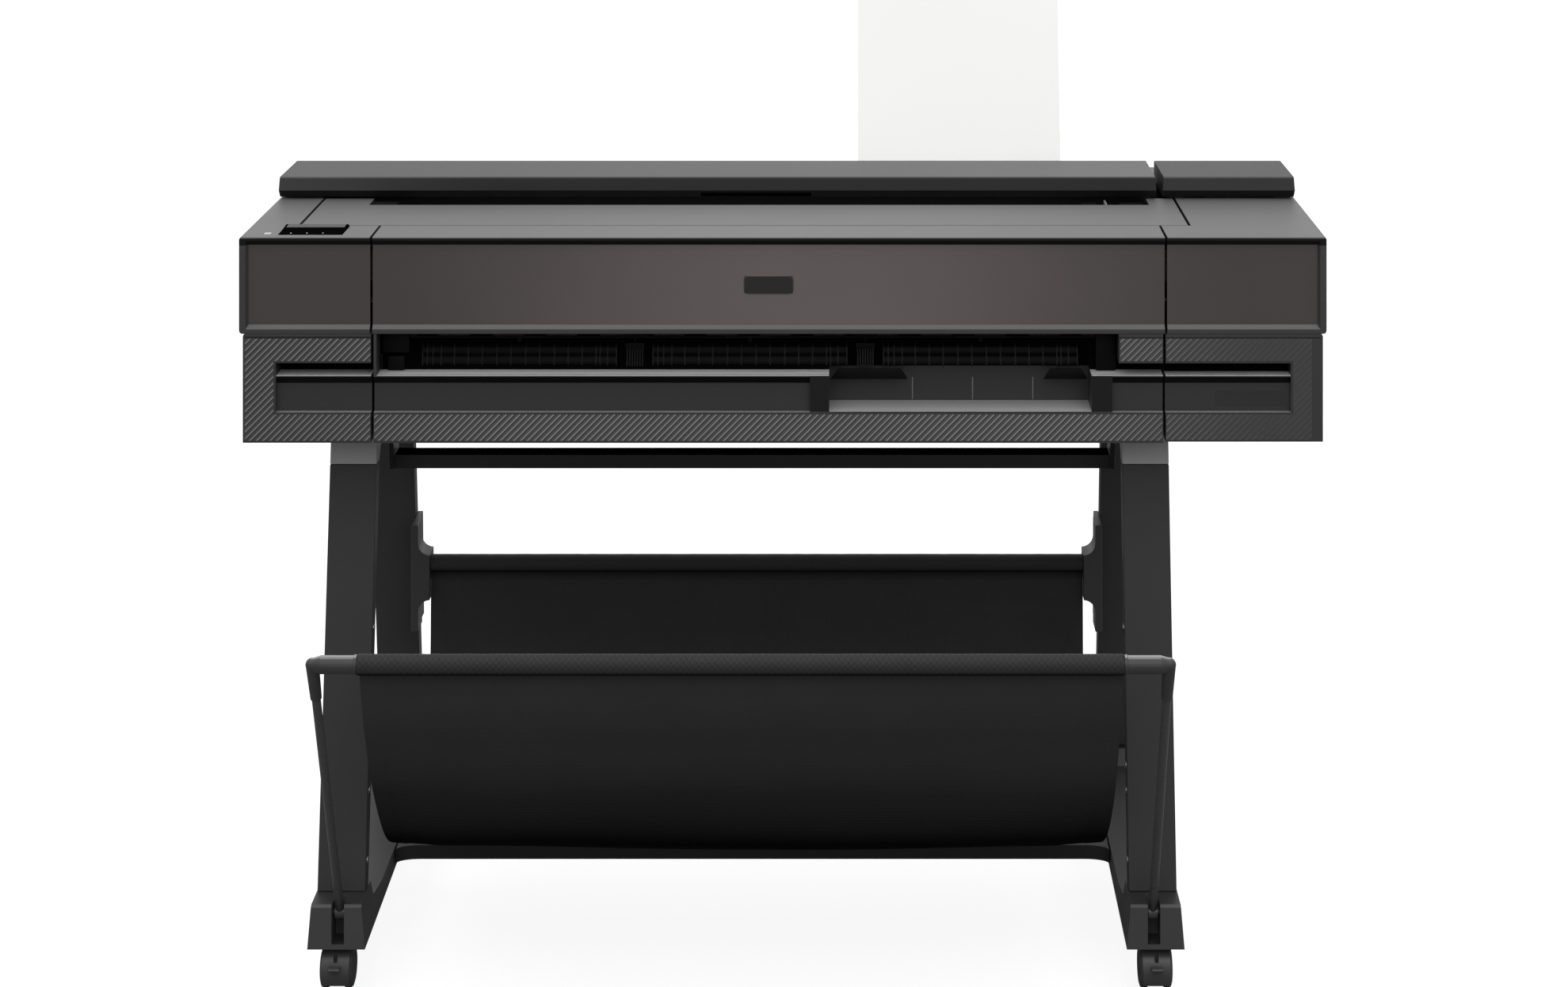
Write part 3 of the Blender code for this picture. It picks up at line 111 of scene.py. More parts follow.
def plug(tree, value, socket):
    """Links a field or socket to an input, or sets the input to a value."""
    if isinstance(value, Field):
        tree.links.new(value.socket, socket)
    elif isinstance(value, bpy.types.NodeSocket):
        tree.links.new(value, socket)
    else:
        socket.default_value = value


class Field:
    """A number in a material's node tree, with arithmetic."""

    def __init__(self, tree, socket):
        self.tree = tree
        self.socket = socket

    def math(self, operation, other=0.0):
        node = self.tree.nodes.new("ShaderNodeMath")
        node.operation = operation
        plug(self.tree, self, node.inputs[0])
        plug(self.tree, other, node.inputs[1])
        return Field(self.tree, node.outputs[0])

    def __add__(self, other):
        return self.math("ADD", other)

    def __sub__(self, other):
        return self.math("SUBTRACT", other)

    def __mul__(self, other):
        return self.math("MULTIPLY", other)

    def __abs__(self):
        return self.math("ABSOLUTE")

    def flip(self):
        return self * -1.0 + 1.0

    def either(self, other):
        """The larger of two masks."""
        return self.math("MAXIMUM", other)

    def rise(self, start, end, low=0.0, high=1.0):
        """low before start, high after end, smooth between them."""
        node = self.tree.nodes.new("ShaderNodeMapRange")
        node.interpolation_type = "SMOOTHSTEP"
        plug(self.tree, self, node.inputs["Value"])
        for name, value in (("From Min", start), ("From Max", end), ("To Min", low), ("To Max", high)):
            node.inputs[name].default_value = value
        return Field(self.tree, node.outputs["Result"])

    def inside(self, low, high, soft=0.0002):
        """1 between low and high, 0 outside."""
        return self.rise(low - soft, low + soft) * self.rise(high - soft, high + soft, 1.0, 0.0)

    def wrap(self, period):
        """The remainder within each period, from 0 to 1."""
        return (self * (1.0 / period)).math("FRACT")


class Finish:
    """One procedural material, in the object's own metres."""

    def __init__(self, name):
        self.material = bpy.data.materials.new(name)
        self.material.use_nodes = True
        self.tree = self.material.node_tree
        self.shader = self.tree.nodes["Principled BSDF"]
        coords = self.add("ShaderNodeTexCoord")
        self.place = coords.outputs["Object"]
        self.x, self.y, self.z = self.split(self.place)
        self.nx, self.ny, self.nz = self.split(coords.outputs["Normal"])

    def add(self, kind, **inputs):
        node = self.tree.nodes.new(kind)
        for name, value in inputs.items():
            plug(self.tree, value, node.inputs[name])
        return node

    def split(self, vector):
        node = self.add("ShaderNodeSeparateXYZ", Vector=vector)
        return [Field(self.tree, socket) for socket in node.outputs]

    def noise(self, scale, detail=2.0, stretch=None):
        """Noise from 0 to 1; stretch scales it along each axis."""
        place = self.place
        if stretch is not None:
            mapping = self.add("ShaderNodeMapping", Vector=place)
            mapping.inputs["Scale"].default_value = stretch
            place = mapping.outputs[0]
        node = self.add("ShaderNodeTexNoise", Vector=place, Scale=scale, Detail=detail)
        return Field(self.tree, node.outputs[0])

    def cells(self, scale):
        """Distance to the nearest of many scattered points."""
        node = self.add("ShaderNodeTexVoronoi", Vector=self.place, Scale=scale)
        return Field(self.tree, node.outputs["Distance"])

    def wave(self, value, period):
        """A smooth wave from 0 to 1 along a coordinate."""
        return (value * (2 * math.pi / period)).math("SINE") * 0.5 + 0.5

    def blend(self, factor, first, second, kind="MIX"):
        """The first colour at factor 0, the second at 1."""
        node = self.tree.nodes.new("ShaderNodeMix")
        node.data_type = "RGBA"
        node.blend_type = kind
        for place, value in ((0, factor), (6, first), (7, second)):
            plug(self.tree, value, node.inputs[place])
        return node.outputs[2]

    def shade(self, colour, factor):
        """The colour times a number."""
        return self.blend(1.0, colour, factor, "MULTIPLY")

    def edge(self):
        """1 along edges, 0 on flat faces."""
        bevel = self.add("ShaderNodeBevel", Radius=EDGE_WIDTH)
        bevel.samples = 4
        face = self.add("ShaderNodeNewGeometry")
        dot = self.tree.nodes.new("ShaderNodeVectorMath")
        dot.operation = "DOT_PRODUCT"
        plug(self.tree, bevel.outputs[0], dot.inputs[0])
        plug(self.tree, face.outputs["Normal"], dot.inputs[1])
        return Field(self.tree, dot.outputs["Value"]).flip().rise(0.03, 0.25)

    def done(self, colour, roughness, height, depth=0.0001, dull=None, **inputs):
        """Wires the shader. height is the relief, and dull is 1 where nothing is reflected."""
        plug(self.tree, colour, self.shader.inputs["Base Color"])
        if dull is not None:
            plug(self.tree, dull * -0.5 + 0.5, self.shader.inputs["Specular IOR Level"])
        plug(self.tree, roughness, self.shader.inputs["Roughness"])
        for name, value in inputs.items():
            plug(self.tree, value, self.shader.inputs[name.replace("_", " ")])
        bump = self.add("ShaderNodeBump", Height=height, Distance=depth)
        plug(self.tree, bump.outputs[0], self.shader.inputs["Normal"])
        return self.material


# ---- materials
def moulded(name, colour, rough=0.5, mottle=0.10, edge_wear_and_highlight=0.25, top=None, dull=None):
    """Fine textured moulded plastic, a little lighter and smoother along its edges, partly wear and partly
    a painted highlight; a top colour, where given, is painted light or shade on up-facing faces.
    """
    f = Finish(name)
    speck = f.noise(1600.0, 3.0)
    cloud = f.noise(9.0, 2.0)
    edge = f.edge()
    # A top colour, where given, is painted light or shade on up-facing faces.
    base = colour if top is None else f.blend(f.nz.rise(0.80, 0.95), colour, top)
    base = f.shade(base, (cloud - 0.5) * (2 * mottle) + (speck - 0.5) * 0.3 + 1.0)
    # The lighter edges are partly wear and partly a painted highlight.
    base = f.blend(edge * edge_wear_and_highlight, base, tuple(min(1.0, c * 2.2 + 0.01) for c in colour[:3]) + (1.0,))
    roughness = (speck - 0.5) * 0.25 + (cloud - 0.5) * 0.12 + rough - edge * 0.08
    if dull is not None:
        dull = edge * -0.7 + dull
    return f.done(base, roughness, speck, GRAIN_DEPTH, dull)


def upper_shell(name):
    """The upper covers: grey frame, brown satin front, fine line texture on the top; painted light on
    up-facing faces and towards the middle, painted shade on down-facing faces and along the panel's top
    edge, and a painted highlight along the edges.
    """
    f = Finish(name)
    speck = f.noise(1700.0, 3.0)
    cloud = f.noise(7.0, 2.0)
    edge = f.edge()
    flat = f.ny.rise(-0.9, -0.98)
    rows = f.z.inside(PANEL_Z[0] + 0.0004, PANEL_Z[1] - 0.0004)
    reach = UPPER_HALF - FRAME_SIDE - 0.003
    ends = abs(f.x).rise(reach - 0.0005, reach + 0.0005, 1.0, 0.0)
    panel = flat * rows * ends * f.y.rise(FRONT_Y + 0.008, FRONT_Y + 0.010, 1.0, 0.0)
    top = f.nz.rise(0.80, 0.95)
    # The panel and the top are lighter towards the middle: painted light.
    centre = abs(f.x - 0.03).rise(0.02, 0.54, 1.0, 0.0)
    brown = f.blend(centre, tone(74, 68, 67), tone(106, 99, 97))
    # Down-facing faces are painted dark as shade and up-facing bevels lighter as painted light.
    under = f.nz.rise(-0.4, -0.6)
    base = f.blend(under, tone(58), tone(28))
    base = f.blend(f.nz.rise(0.55, 0.65), base, tone(92))
    # The dark strip along the panel's top edge is painted shade.
    strip = f.z.rise(PANEL_Z[1] - 0.001, PANEL_Z[1]) * f.nz.rise(0.3, 0.6, 1.0, 0.0)
    strip = strip * f.y.rise(FRONT_Y + 0.010, FRONT_Y + 0.012, 1.0, 0.0)
    base = f.blend(strip, base, tone(30))
    base = f.blend(panel, base, brown)
    pad = f.x.inside(*BADGE[0]) * f.z.inside(*BADGE[1]) * panel
    base = f.blend(pad, base, tone(34, 31, 31))
    # The lighter top colour is painted light on up-facing faces.
    base = f.blend(top, base, f.blend(centre, tone(94), tone(105)))
    base = f.shade(base, (speck - 0.5) * 0.28 + (cloud - 0.5) * 0.12 + 1.0)
    # Lighter edges: painted highlight.
    base = f.blend(edge * 0.22, base, tone(112))
    rough = (speck - 0.5) * 0.22 - panel * 0.06 + top * 0.02 + 0.46
    lines = f.wave(f.x, 0.0016) * f.wave(f.y, 0.0016) * top
    return f.done(base, rough, lines * 0.5 + speck, 0.00005, under.either(strip) * 0.9)


def lower_shell(name):
    """The lower covers: near black, with the lip top and the tray floor painted pale as light, painted
    shade on the recess face, under the lip and in the black paper exit, and a painted highlight along the
    edges.
    """
    f = Finish(name)
    speck = f.noise(1700.0, 3.0)
    cloud = f.noise(7.0, 2.0)
    edge = f.edge()
    up = f.nz.rise(0.85, 0.95)
    # The lip top is painted pale: painted light.
    shelf = up * f.z.inside(LIP_Z[0] - 0.004, LIP_TOP_Z + 0.0004)
    base = f.blend(shelf, tone(54), tone(206))
    # The recess face is a shade darker: painted shade.
    face = f.y.inside(RECESS_Y - 0.001, RECESS_Y + 0.001) * f.z.inside(*RECESS_Z)
    base = f.blend(face, base, tone(48))
    # The lip's down-facing underside is painted dark: painted shade.
    under = f.nz.rise(-0.3, -0.5) * f.z.inside(LIP_Z[0] - 0.001, LIP_Z[1])
    base = f.blend(under, base, tone(20))
    posts = f.x.inside(*POSTS[0]).either(f.x.inside(*POSTS[1])) * f.z.inside(*POST_Z)
    posts = posts * f.ny.rise(-0.8, -0.9)
    base = f.blend(posts, base, tone(28))
    # The paper exit and the pocket above the lip are painted near black: painted shade.
    deep = f.x.rise(0.461, 0.462, 0.0, -0.0095) - 0.1272
    behind = (f.y - deep).rise(0.0, 0.0004) * f.z.rise(LIP_TOP_Z - 0.0004, LIP_TOP_Z)
    roof = f.nz.rise(-0.8, -0.95) * f.z.inside(RECESS_Z[1] - 0.0006, RECESS_Z[1] + 0.0006)
    hollow = behind.either(roof) * f.z.rise(GROOVE_Z + 0.0020, GROOVE_Z + 0.0025, 1.0, 0.0)
    hollow = hollow * abs(f.x).rise(LOWER_END_X - 0.001, LOWER_END_X + 0.001, 1.0, 0.0)
    base = f.blend(hollow, base, tone(9))
    # The tray floor is painted pale: painted light.
    tray = f.z.inside(TRAY_FLOOR_Z - 0.001, TRAY_FLOOR_Z + 0.001) * up
    base = f.blend(tray, base, tone(170))
    base = f.shade(base, (speck - 0.5) * 0.25 + (cloud - 0.5) * 0.14 + 1.0)
    # Lighter edges: painted highlight.
    base = f.blend(edge * 0.20, base, tone(100))
    dull = hollow.either(under * 0.8).either(posts * 0.6)
    return f.done(base, (speck - 0.5) * 0.2 + 0.47, speck, 0.00005, dull)


def ribbed(name):
    """Slanted ribs with a painted highlight on each crest and painted shade down each slope, fading
    towards the right end; painted shade darkens the left end.
    """
    f = Finish(name)
    speck = f.noise(1700.0, 3.0)
    place = (f.x - f.z + 2.0).wrap(RIB_PITCH)
    # Painted highlight on each crest and painted shade down each slope, fading towards the right end.
    crest = place.inside(0.74, 0.97, 0.06)
    slope = place.rise(0.0, 0.8)
    rib_light_fade = f.x.rise(0.34, 0.60)
    low = f.blend(rib_light_fade, tone(46), tone(52))
    high = f.blend(rib_light_fade, tone(88), tone(64))
    top = f.blend(rib_light_fade, tone(178), tone(88))
    base = f.blend(crest, f.blend(slope, low, high), top)
    # Painted shade towards the left end.
    base = f.shade(base, f.x.rise(-0.60, -0.30, 0.8, 1.0))
    base = f.shade(base, (speck - 0.5) * 0.25 + 1.0)
    return f.done(base, (speck - 0.5) * 0.2 + 0.42, speck, GRAIN_DEPTH)


def lid_shell(name):
    """The long cover: grey, with painted light growing to the right on top and fading to the right on the
    front, painted shade under its front edge and in the grip notch, and a painted highlight along the
    edges.
    """
    f = Finish(name)
    speck = f.noise(1600.0, 3.0)
    cloud = f.noise(9.0, 2.0)
    edge = f.edge()
    hood = f.x.rise(HOOD_X - 0.002, HOOD_X + 0.002)
    # The gradients along x on the front and the top are painted light and shade.
    left = f.x.rise(-0.66, -0.35)
    front = f.blend(hood, f.blend(left, tone(62), tone(40)), tone(52))
    along = f.x.rise(-0.66, 0.48)
    top = f.blend(hood, f.blend(along, tone(50), tone(78)), tone(42))
    up = f.nz.rise(0.80, 0.95)
    base = f.blend(up, front, top)
    # Down-facing faces under the front edge: painted shade.
    under = f.nz.rise(-0.3, -0.5)
    base = f.blend(under, base, tone(30))
    # The notch behind the grip is painted near black: painted shade.
    grip = f.x.inside(*GRIP_X) * f.z.rise(GRIP_TOP_Z - 0.0002, GRIP_TOP_Z + 0.0002, 1.0, 0.0)
    grip = grip * f.y.rise(LID_FRONT + 0.006, LID_FRONT + 0.007)
    base = f.blend(grip, base, tone(8))
    base = f.shade(base, (cloud - 0.5) * 0.14 + (speck - 0.5) * 0.3 + 1.0)
    # Lighter edges: painted highlight.
    base = f.blend(edge * 0.30, base, tone(118))
    rough = (speck - 0.5) * 0.25 + 0.46 - edge * 0.08
    dull = grip.either(under * 0.6).either(up * 0.3)
    return f.done(base, rough, speck, GRAIN_DEPTH, dull)


def powder_coat(name, colour, rough=0.55, top=None):
    """Powder coated steel with a fine orange peel and a painted highlight along its edges; a top colour,
    where given, is painted shade on its top.
    """
    f = Finish(name)
    peel = f.noise(900.0, 2.0)
    cloud = f.noise(6.0, 2.0)
    streak = f.noise(40.0, 2.0, (1.0, 1.0, 0.08))
    edge = f.edge()
    # A top colour, where given, is painted shade on up-facing faces.
    base = colour if top is None else f.blend(f.nz.rise(0.7, 0.9), colour, top)
    base = f.shade(base, (cloud - 0.5) * 0.22 + (streak - 0.5) * 0.10 + (peel - 0.5) * 0.2 + 1.0)
    # Lighter edges: painted highlight.
    base = f.blend(edge * 0.4, base, tone(112, 112, 113))
    dull = None if top is None else f.nz.rise(0.7, 0.9)
    return f.done(base, (peel - 0.5) * 0.25 + rough, peel, 0.00008, dull)


def metal(name, colour, rough=0.35, stretch=(0.05, 1.0, 1.0)):
    """Bare metal with fine drawn lines."""
    f = Finish(name)
    lines = f.noise(1500.0, 3.0, stretch)
    cloud = f.noise(12.0, 2.0)
    base = f.shade(colour, (lines - 0.5) * 0.35 + (cloud - 0.5) * 0.15 + 1.0)
    return f.done(base, (lines - 0.5) * 0.3 + rough, lines, 0.00002, Metallic=1.0)


def rubber(name, colour, period=0.0):
    """Dull rubber, with fine grooves where it grips."""
    f = Finish(name)
    dust = f.noise(300.0, 4.0)
    grain = f.noise(1800.0, 2.0)
    base = f.blend(dust.rise(0.5, 0.75) * 0.35, colour, tone(86, 84, 82))
    height = grain
    if period:
        height = f.wave(f.x, period) * 0.7 + grain * 0.3
    return f.done(base, grain * 0.2 + 0.68, height, 0.00012)


def paper(name):
    """Matt coated paper with faint fibre."""
    f = Finish(name)
    fibre = f.noise(700.0, 5.0, (1.0, 1.0, 0.5))
    cloud = f.noise(5.0, 3.0)
    base = f.shade((0.90, 0.90, 0.89, 1.0), (fibre - 0.5) * 0.04 + (cloud - 0.5) * 0.03 + 1.0)
    # The emission is painted light, standing in for light passing through the thin sheet.
    glow = {"Emission_Color": (1.0, 1.0, 1.0, 1.0), "Emission_Strength": 0.20}
    return f.done(base, 0.72, fibre, 0.00003, **glow)


def rolled_paper(name):
    """Paper wound on a core: fine winding lines on the ends."""
    f = Finish(name)
    across = (f.y - ROLL_AXIS[0]).math("POWER", 2.0)
    upright = (f.z - ROLL_AXIS[1]).math("POWER", 2.0)
    radius = (across + upright).math("SQRT")
    ends = abs(f.nx).rise(0.8, 0.95)
    layers = f.wave(radius, 0.0011)
    loose = f.noise(60.0, 3.0, (0.2, 1.0, 1.0))
    core = radius.rise(0.0222, 0.0226, 1.0, 0.0)
    base = f.blend(layers * ends * 0.35, (0.86, 0.86, 0.85, 1.0), (0.50, 0.49, 0.47, 1.0))
    base = f.blend(core * ends, base, (0.26, 0.17, 0.10, 1.0))
    return f.done(f.shade(base, (loose - 0.5) * 0.08 + 1.0), 0.75, layers * ends + loose * 0.4, 0.00012)


def woven(name, colour, thread=0.0011, mesh=False):
    """Cloth of crossing threads; mesh cloth has a diamond pattern."""
    f = Finish(name)
    if mesh:
        across = f.x + f.z
        along = f.x - f.z
    else:
        across = f.x
        along = f.y.math("ADD", f.z * 1.3)
    warp = f.wave(across, thread)
    weft = f.wave(along, thread)
    over = f.wave(across, thread * 2) - f.wave(along, thread * 2)
    height = warp * 0.5 + weft * 0.5 + over * 0.35
    dust = f.noise(14.0, 4.0)
    slub = f.noise(160.0, 3.0, (0.5, 1.0, 1.0))
    strong = 0.7 if mesh else 0.22
    light = (dust - 0.5) * 0.25 + (slub - 0.5) * 0.15 + height * strong + (1.0 - strong / 2)
    # Down-facing cloth is darkened: painted shade.
    facing = f.nz.rise(-0.88, -0.30)
    light = light * (facing * 0.95 + 0.05)
    rough = (slub - 0.5) * 0.2 + 0.74
    depth = 0.00022 if mesh else 0.0001
    sheen = {"Sheen_Weight": facing * 0.18, "Sheen_Roughness": 0.45}
    return f.done(f.shade(colour, light), rough, height, depth, facing * -0.55 + 0.95, **sheen)


def screen_face(name):
    """Speckled grey display behind a black front edge with three small lights."""
    f = Finish(name)
    speck = f.cells(900.0)
    cloud = f.noise(60.0, 2.0)
    top = f.nz.rise(0.7, 0.9)
    rim = f.x.inside(*SCREEN_RIM[0], 0.0006) * f.y.inside(*SCREEN_RIM[1], 0.0006) * top
    grey = f.blend(speck.rise(0.1, 0.5), tone(84, 84, 86), tone(38, 38, 40))
    base = f.blend(rim, tone(7), grey)
    across, along = SCREEN_DOTS
    for centre in across:
        dot = f.x.inside(centre - 0.0008, centre + 0.0008, 0.0003) * f.y.inside(*along, 0.0003)
        base = f.blend(dot * top, base, tone(225))
    rough = rim * 0.22 + (cloud - 0.5) * 0.05 + 0.16
    return f.done(base, rough, speck * rim, 0.00002, rim * -0.5 + 1.0)


def floor_white(name):
    """Pale seamless studio floor. It looks white, and throws little light back up."""
    f = Finish(name)
    grain = f.noise(30.0, 3.0)
    cloud = f.noise(0.4, 2.0)
    seen = Field(f.tree, f.add("ShaderNodeLightPath").outputs["Is Camera Ray"])
    base = f.blend(seen, (0.20, 0.20, 0.20, 1.0), (0.22, 0.22, 0.22, 1.0))
    base = f.shade(base, (grain - 0.5) * 0.006 + (cloud - 0.5) * 0.01 + 1.0)
    glow = {"Emission_Color": (1.0, 1.0, 1.0, 1.0), "Emission_Strength": seen * 0.88}
    return f.done(base, 0.9, grain, Specular_IOR_Level=0.0, **glow)


MAT = {
    "upper": upper_shell("upper_shell_plastic"),
    "lower": lower_shell("lower_shell_plastic"),
    "ribbed": ribbed("ribbed_plastic"),
    "lid": lid_shell("lid_plastic"),
    "black": moulded("black_plastic", tone(24, 24, 25), 0.5),
    # Near black as painted shade in the paper exit, with a strong painted highlight on its edges.
    "comb": moulded("guide_plastic", tone(14), 0.5, edge_wear_and_highlight=0.8, dull=0.85),
    # Its darker top colour is painted shade on up-facing faces.
    "dark": moulded("stand_plastic", tone(66, 66, 67), 0.5, top=tone(40)),
    # Its lighter top colour is a painted highlight on up-facing faces.
    "elbow": moulded("elbow_plastic", tone(54, 54, 55), 0.46, top=tone(150)),
    # Partly its own lighter grey, partly painted light against the body's shadow.
    "bracket": moulded("bracket_plastic", tone(172), 0.48),
    "plate": moulded("name_plate_plastic", tone(44), 0.4),
    "trim": moulded("trim_plastic", tone(118), 0.42),
    "button": moulded("button_plastic", tone(176, 178, 180), 0.4),
    "caster": moulded("caster_plastic", tone(64, 64, 65), 0.4),
    "paint": powder_coat("leg_powder_coat", tone(46, 46, 47)),
    # The same coat as the front legs, made lighter as painted light against the shade on the rear legs.
    "rear_paint_with_painted_light": powder_coat("rear_leg_coat_with_painted_light", tone(66, 65, 66)),
    # Its near black top colour is painted shade cast by the body above.
    "bar": powder_coat("bar_coating", tone(32, 32, 33), 0.42, tone(8)),
    "rod": powder_coat("rod_coating", tone(68, 68, 69), 0.30),
    "sheet_metal": metal("galvanised_sheet", (0.42, 0.43, 0.44, 1.0), 0.42),
    "steel": metal("turned_steel", (0.50, 0.50, 0.51, 1.0), 0.28),
    "screw": metal("screw_steel", (0.32, 0.32, 0.33, 1.0), 0.35),
    "rubber": rubber("roller_rubber", tone(22), 0.0022),
    "tread": rubber("caster_tread", tone(58, 58, 59)),
    "belt": rubber("belt_rubber", tone(28), 0.002),
    "paper": paper("paper"),
    "roll": rolled_paper("wound_paper"),
    "cloth": woven("basket_cloth", tone(50, 50, 51)),
    "mesh_cloth": woven("sleeve_mesh", tone(42, 42, 43), 0.0036, True),
    "thread": woven("stitch_thread", tone(130, 130, 131), 0.0004),
    "screen": screen_face("display_face"),
    "floor": floor_white("studio_floor"),
    "ink_black": moulded("ink_black_plastic", tone(34, 34, 35)),
    "ink_cyan": moulded("ink_cyan_plastic", (0.02, 0.25, 0.45, 1.0)),
    "ink_magenta": moulded("ink_magenta_plastic", (0.45, 0.03, 0.18, 1.0)),
    "ink_yellow": moulded("ink_yellow_plastic", (0.65, 0.50, 0.04, 1.0)),
}


# ---- CAD nodes
def dress(material, *names):
    """Gives CAD nodes their material."""
    for name in names:
        data = NODES[name].data
        data.materials.clear()
        data.materials.append(MAT[material])


def soften(width, *names, segments=2, angle=32.0):
    """Rounds the hard edges of a CAD shell without touching its mesh."""
    for name in names:
        node = NODES[name]
        weld = node.modifiers.new("weld", "WELD")
        weld.merge_threshold = 0.00001
        flat = node.modifiers.new("flat", "DECIMATE")
        flat.decimate_type = "DISSOLVE"
        flat.angle_limit = math.radians(0.5)
        bevel = node.modifiers.new("round", "BEVEL")
        bevel.width = width
        bevel.segments = segments
        bevel.limit_method = "ANGLE"
        bevel.angle_limit = math.radians(angle)
        normals = node.modifiers.new("normals", "WEIGHTED_NORMAL")
        normals.weight = 100


SIDES = ("left", "right")
ENDS = ("front", "rear")
INKS = ("black", "cyan", "magenta", "yellow")

dress("upper", "left_upper_cover", "right_upper_cover", "front_cover", "rear_cover", "top_cover")
dress("lid", "roll_cover", "right_hood_cover")
dress("lower", "left_lower_cover", "right_lower_cover", "lower_front_panel", "ink_door")
dress("screen", "control_display")
dress("button", "power_button")
dress("sheet_metal", "chassis", "carriage_rail")
dress("black", "carriage", "platen", "service_station", "roll_spindle")
dress("rubber", "feed_roller", "output_roller")
dress("belt", "drive_belt")
dress("steel", "motor_pulley", "idler_pulley", "pinch_roller")
dress("roll", "media_roll")
dress("paper", "loaded_sheet")
dress("cloth", "basket_fabric")
dress("bar", "upper_crossbeam", "rear_basket_bar", "front_basket_bar")
dress("paint", "lower_crossbar")
for ink in INKS:
    dress("ink_" + ink, "cartridge_" + ink)
for side in SIDES:
    dress("paint", side + "_front_leg")
    dress("rear_paint_with_painted_light", side + "_rear_leg")
    dress("dark", side + "_foot", side + "_bar_bracket")
    dress("elbow", side + "_basket_elbow")
    dress("bracket", side + "_leg_bracket")
    dress("rod", side + "_basket_rod")
    dress("caster", side + "_brake_lever")
    for end in ENDS:
        dress("caster", f"{end}_{side}_caster_housing")
        dress("tread", f"{end}_{side}_caster_wheels")

soften(0.0016, "roll_cover", "right_hood_cover", "rear_cover", segments=3)
soften(0.0012, "left_upper_cover", "right_upper_cover", "front_cover", "top_cover", segments=3)
soften(0.0009, "left_lower_cover", "right_lower_cover", "lower_front_panel")
soften(0.0008, "upper_crossbeam", "lower_crossbar", *("cartridge_" + ink for ink in INKS))
soften(0.0006, "control_display", "power_button", "carriage", "service_station", "platen")
for side in SIDES:
    soften(0.0012, *(side + part for part in ("_foot", "_front_leg", "_rear_leg", "_leg_bracket")))
    soften(0.0008, side + "_bar_bracket")
    soften(0.0005, side + "_brake_lever", *(f"{end}_{side}_caster_housing" for end in ENDS))


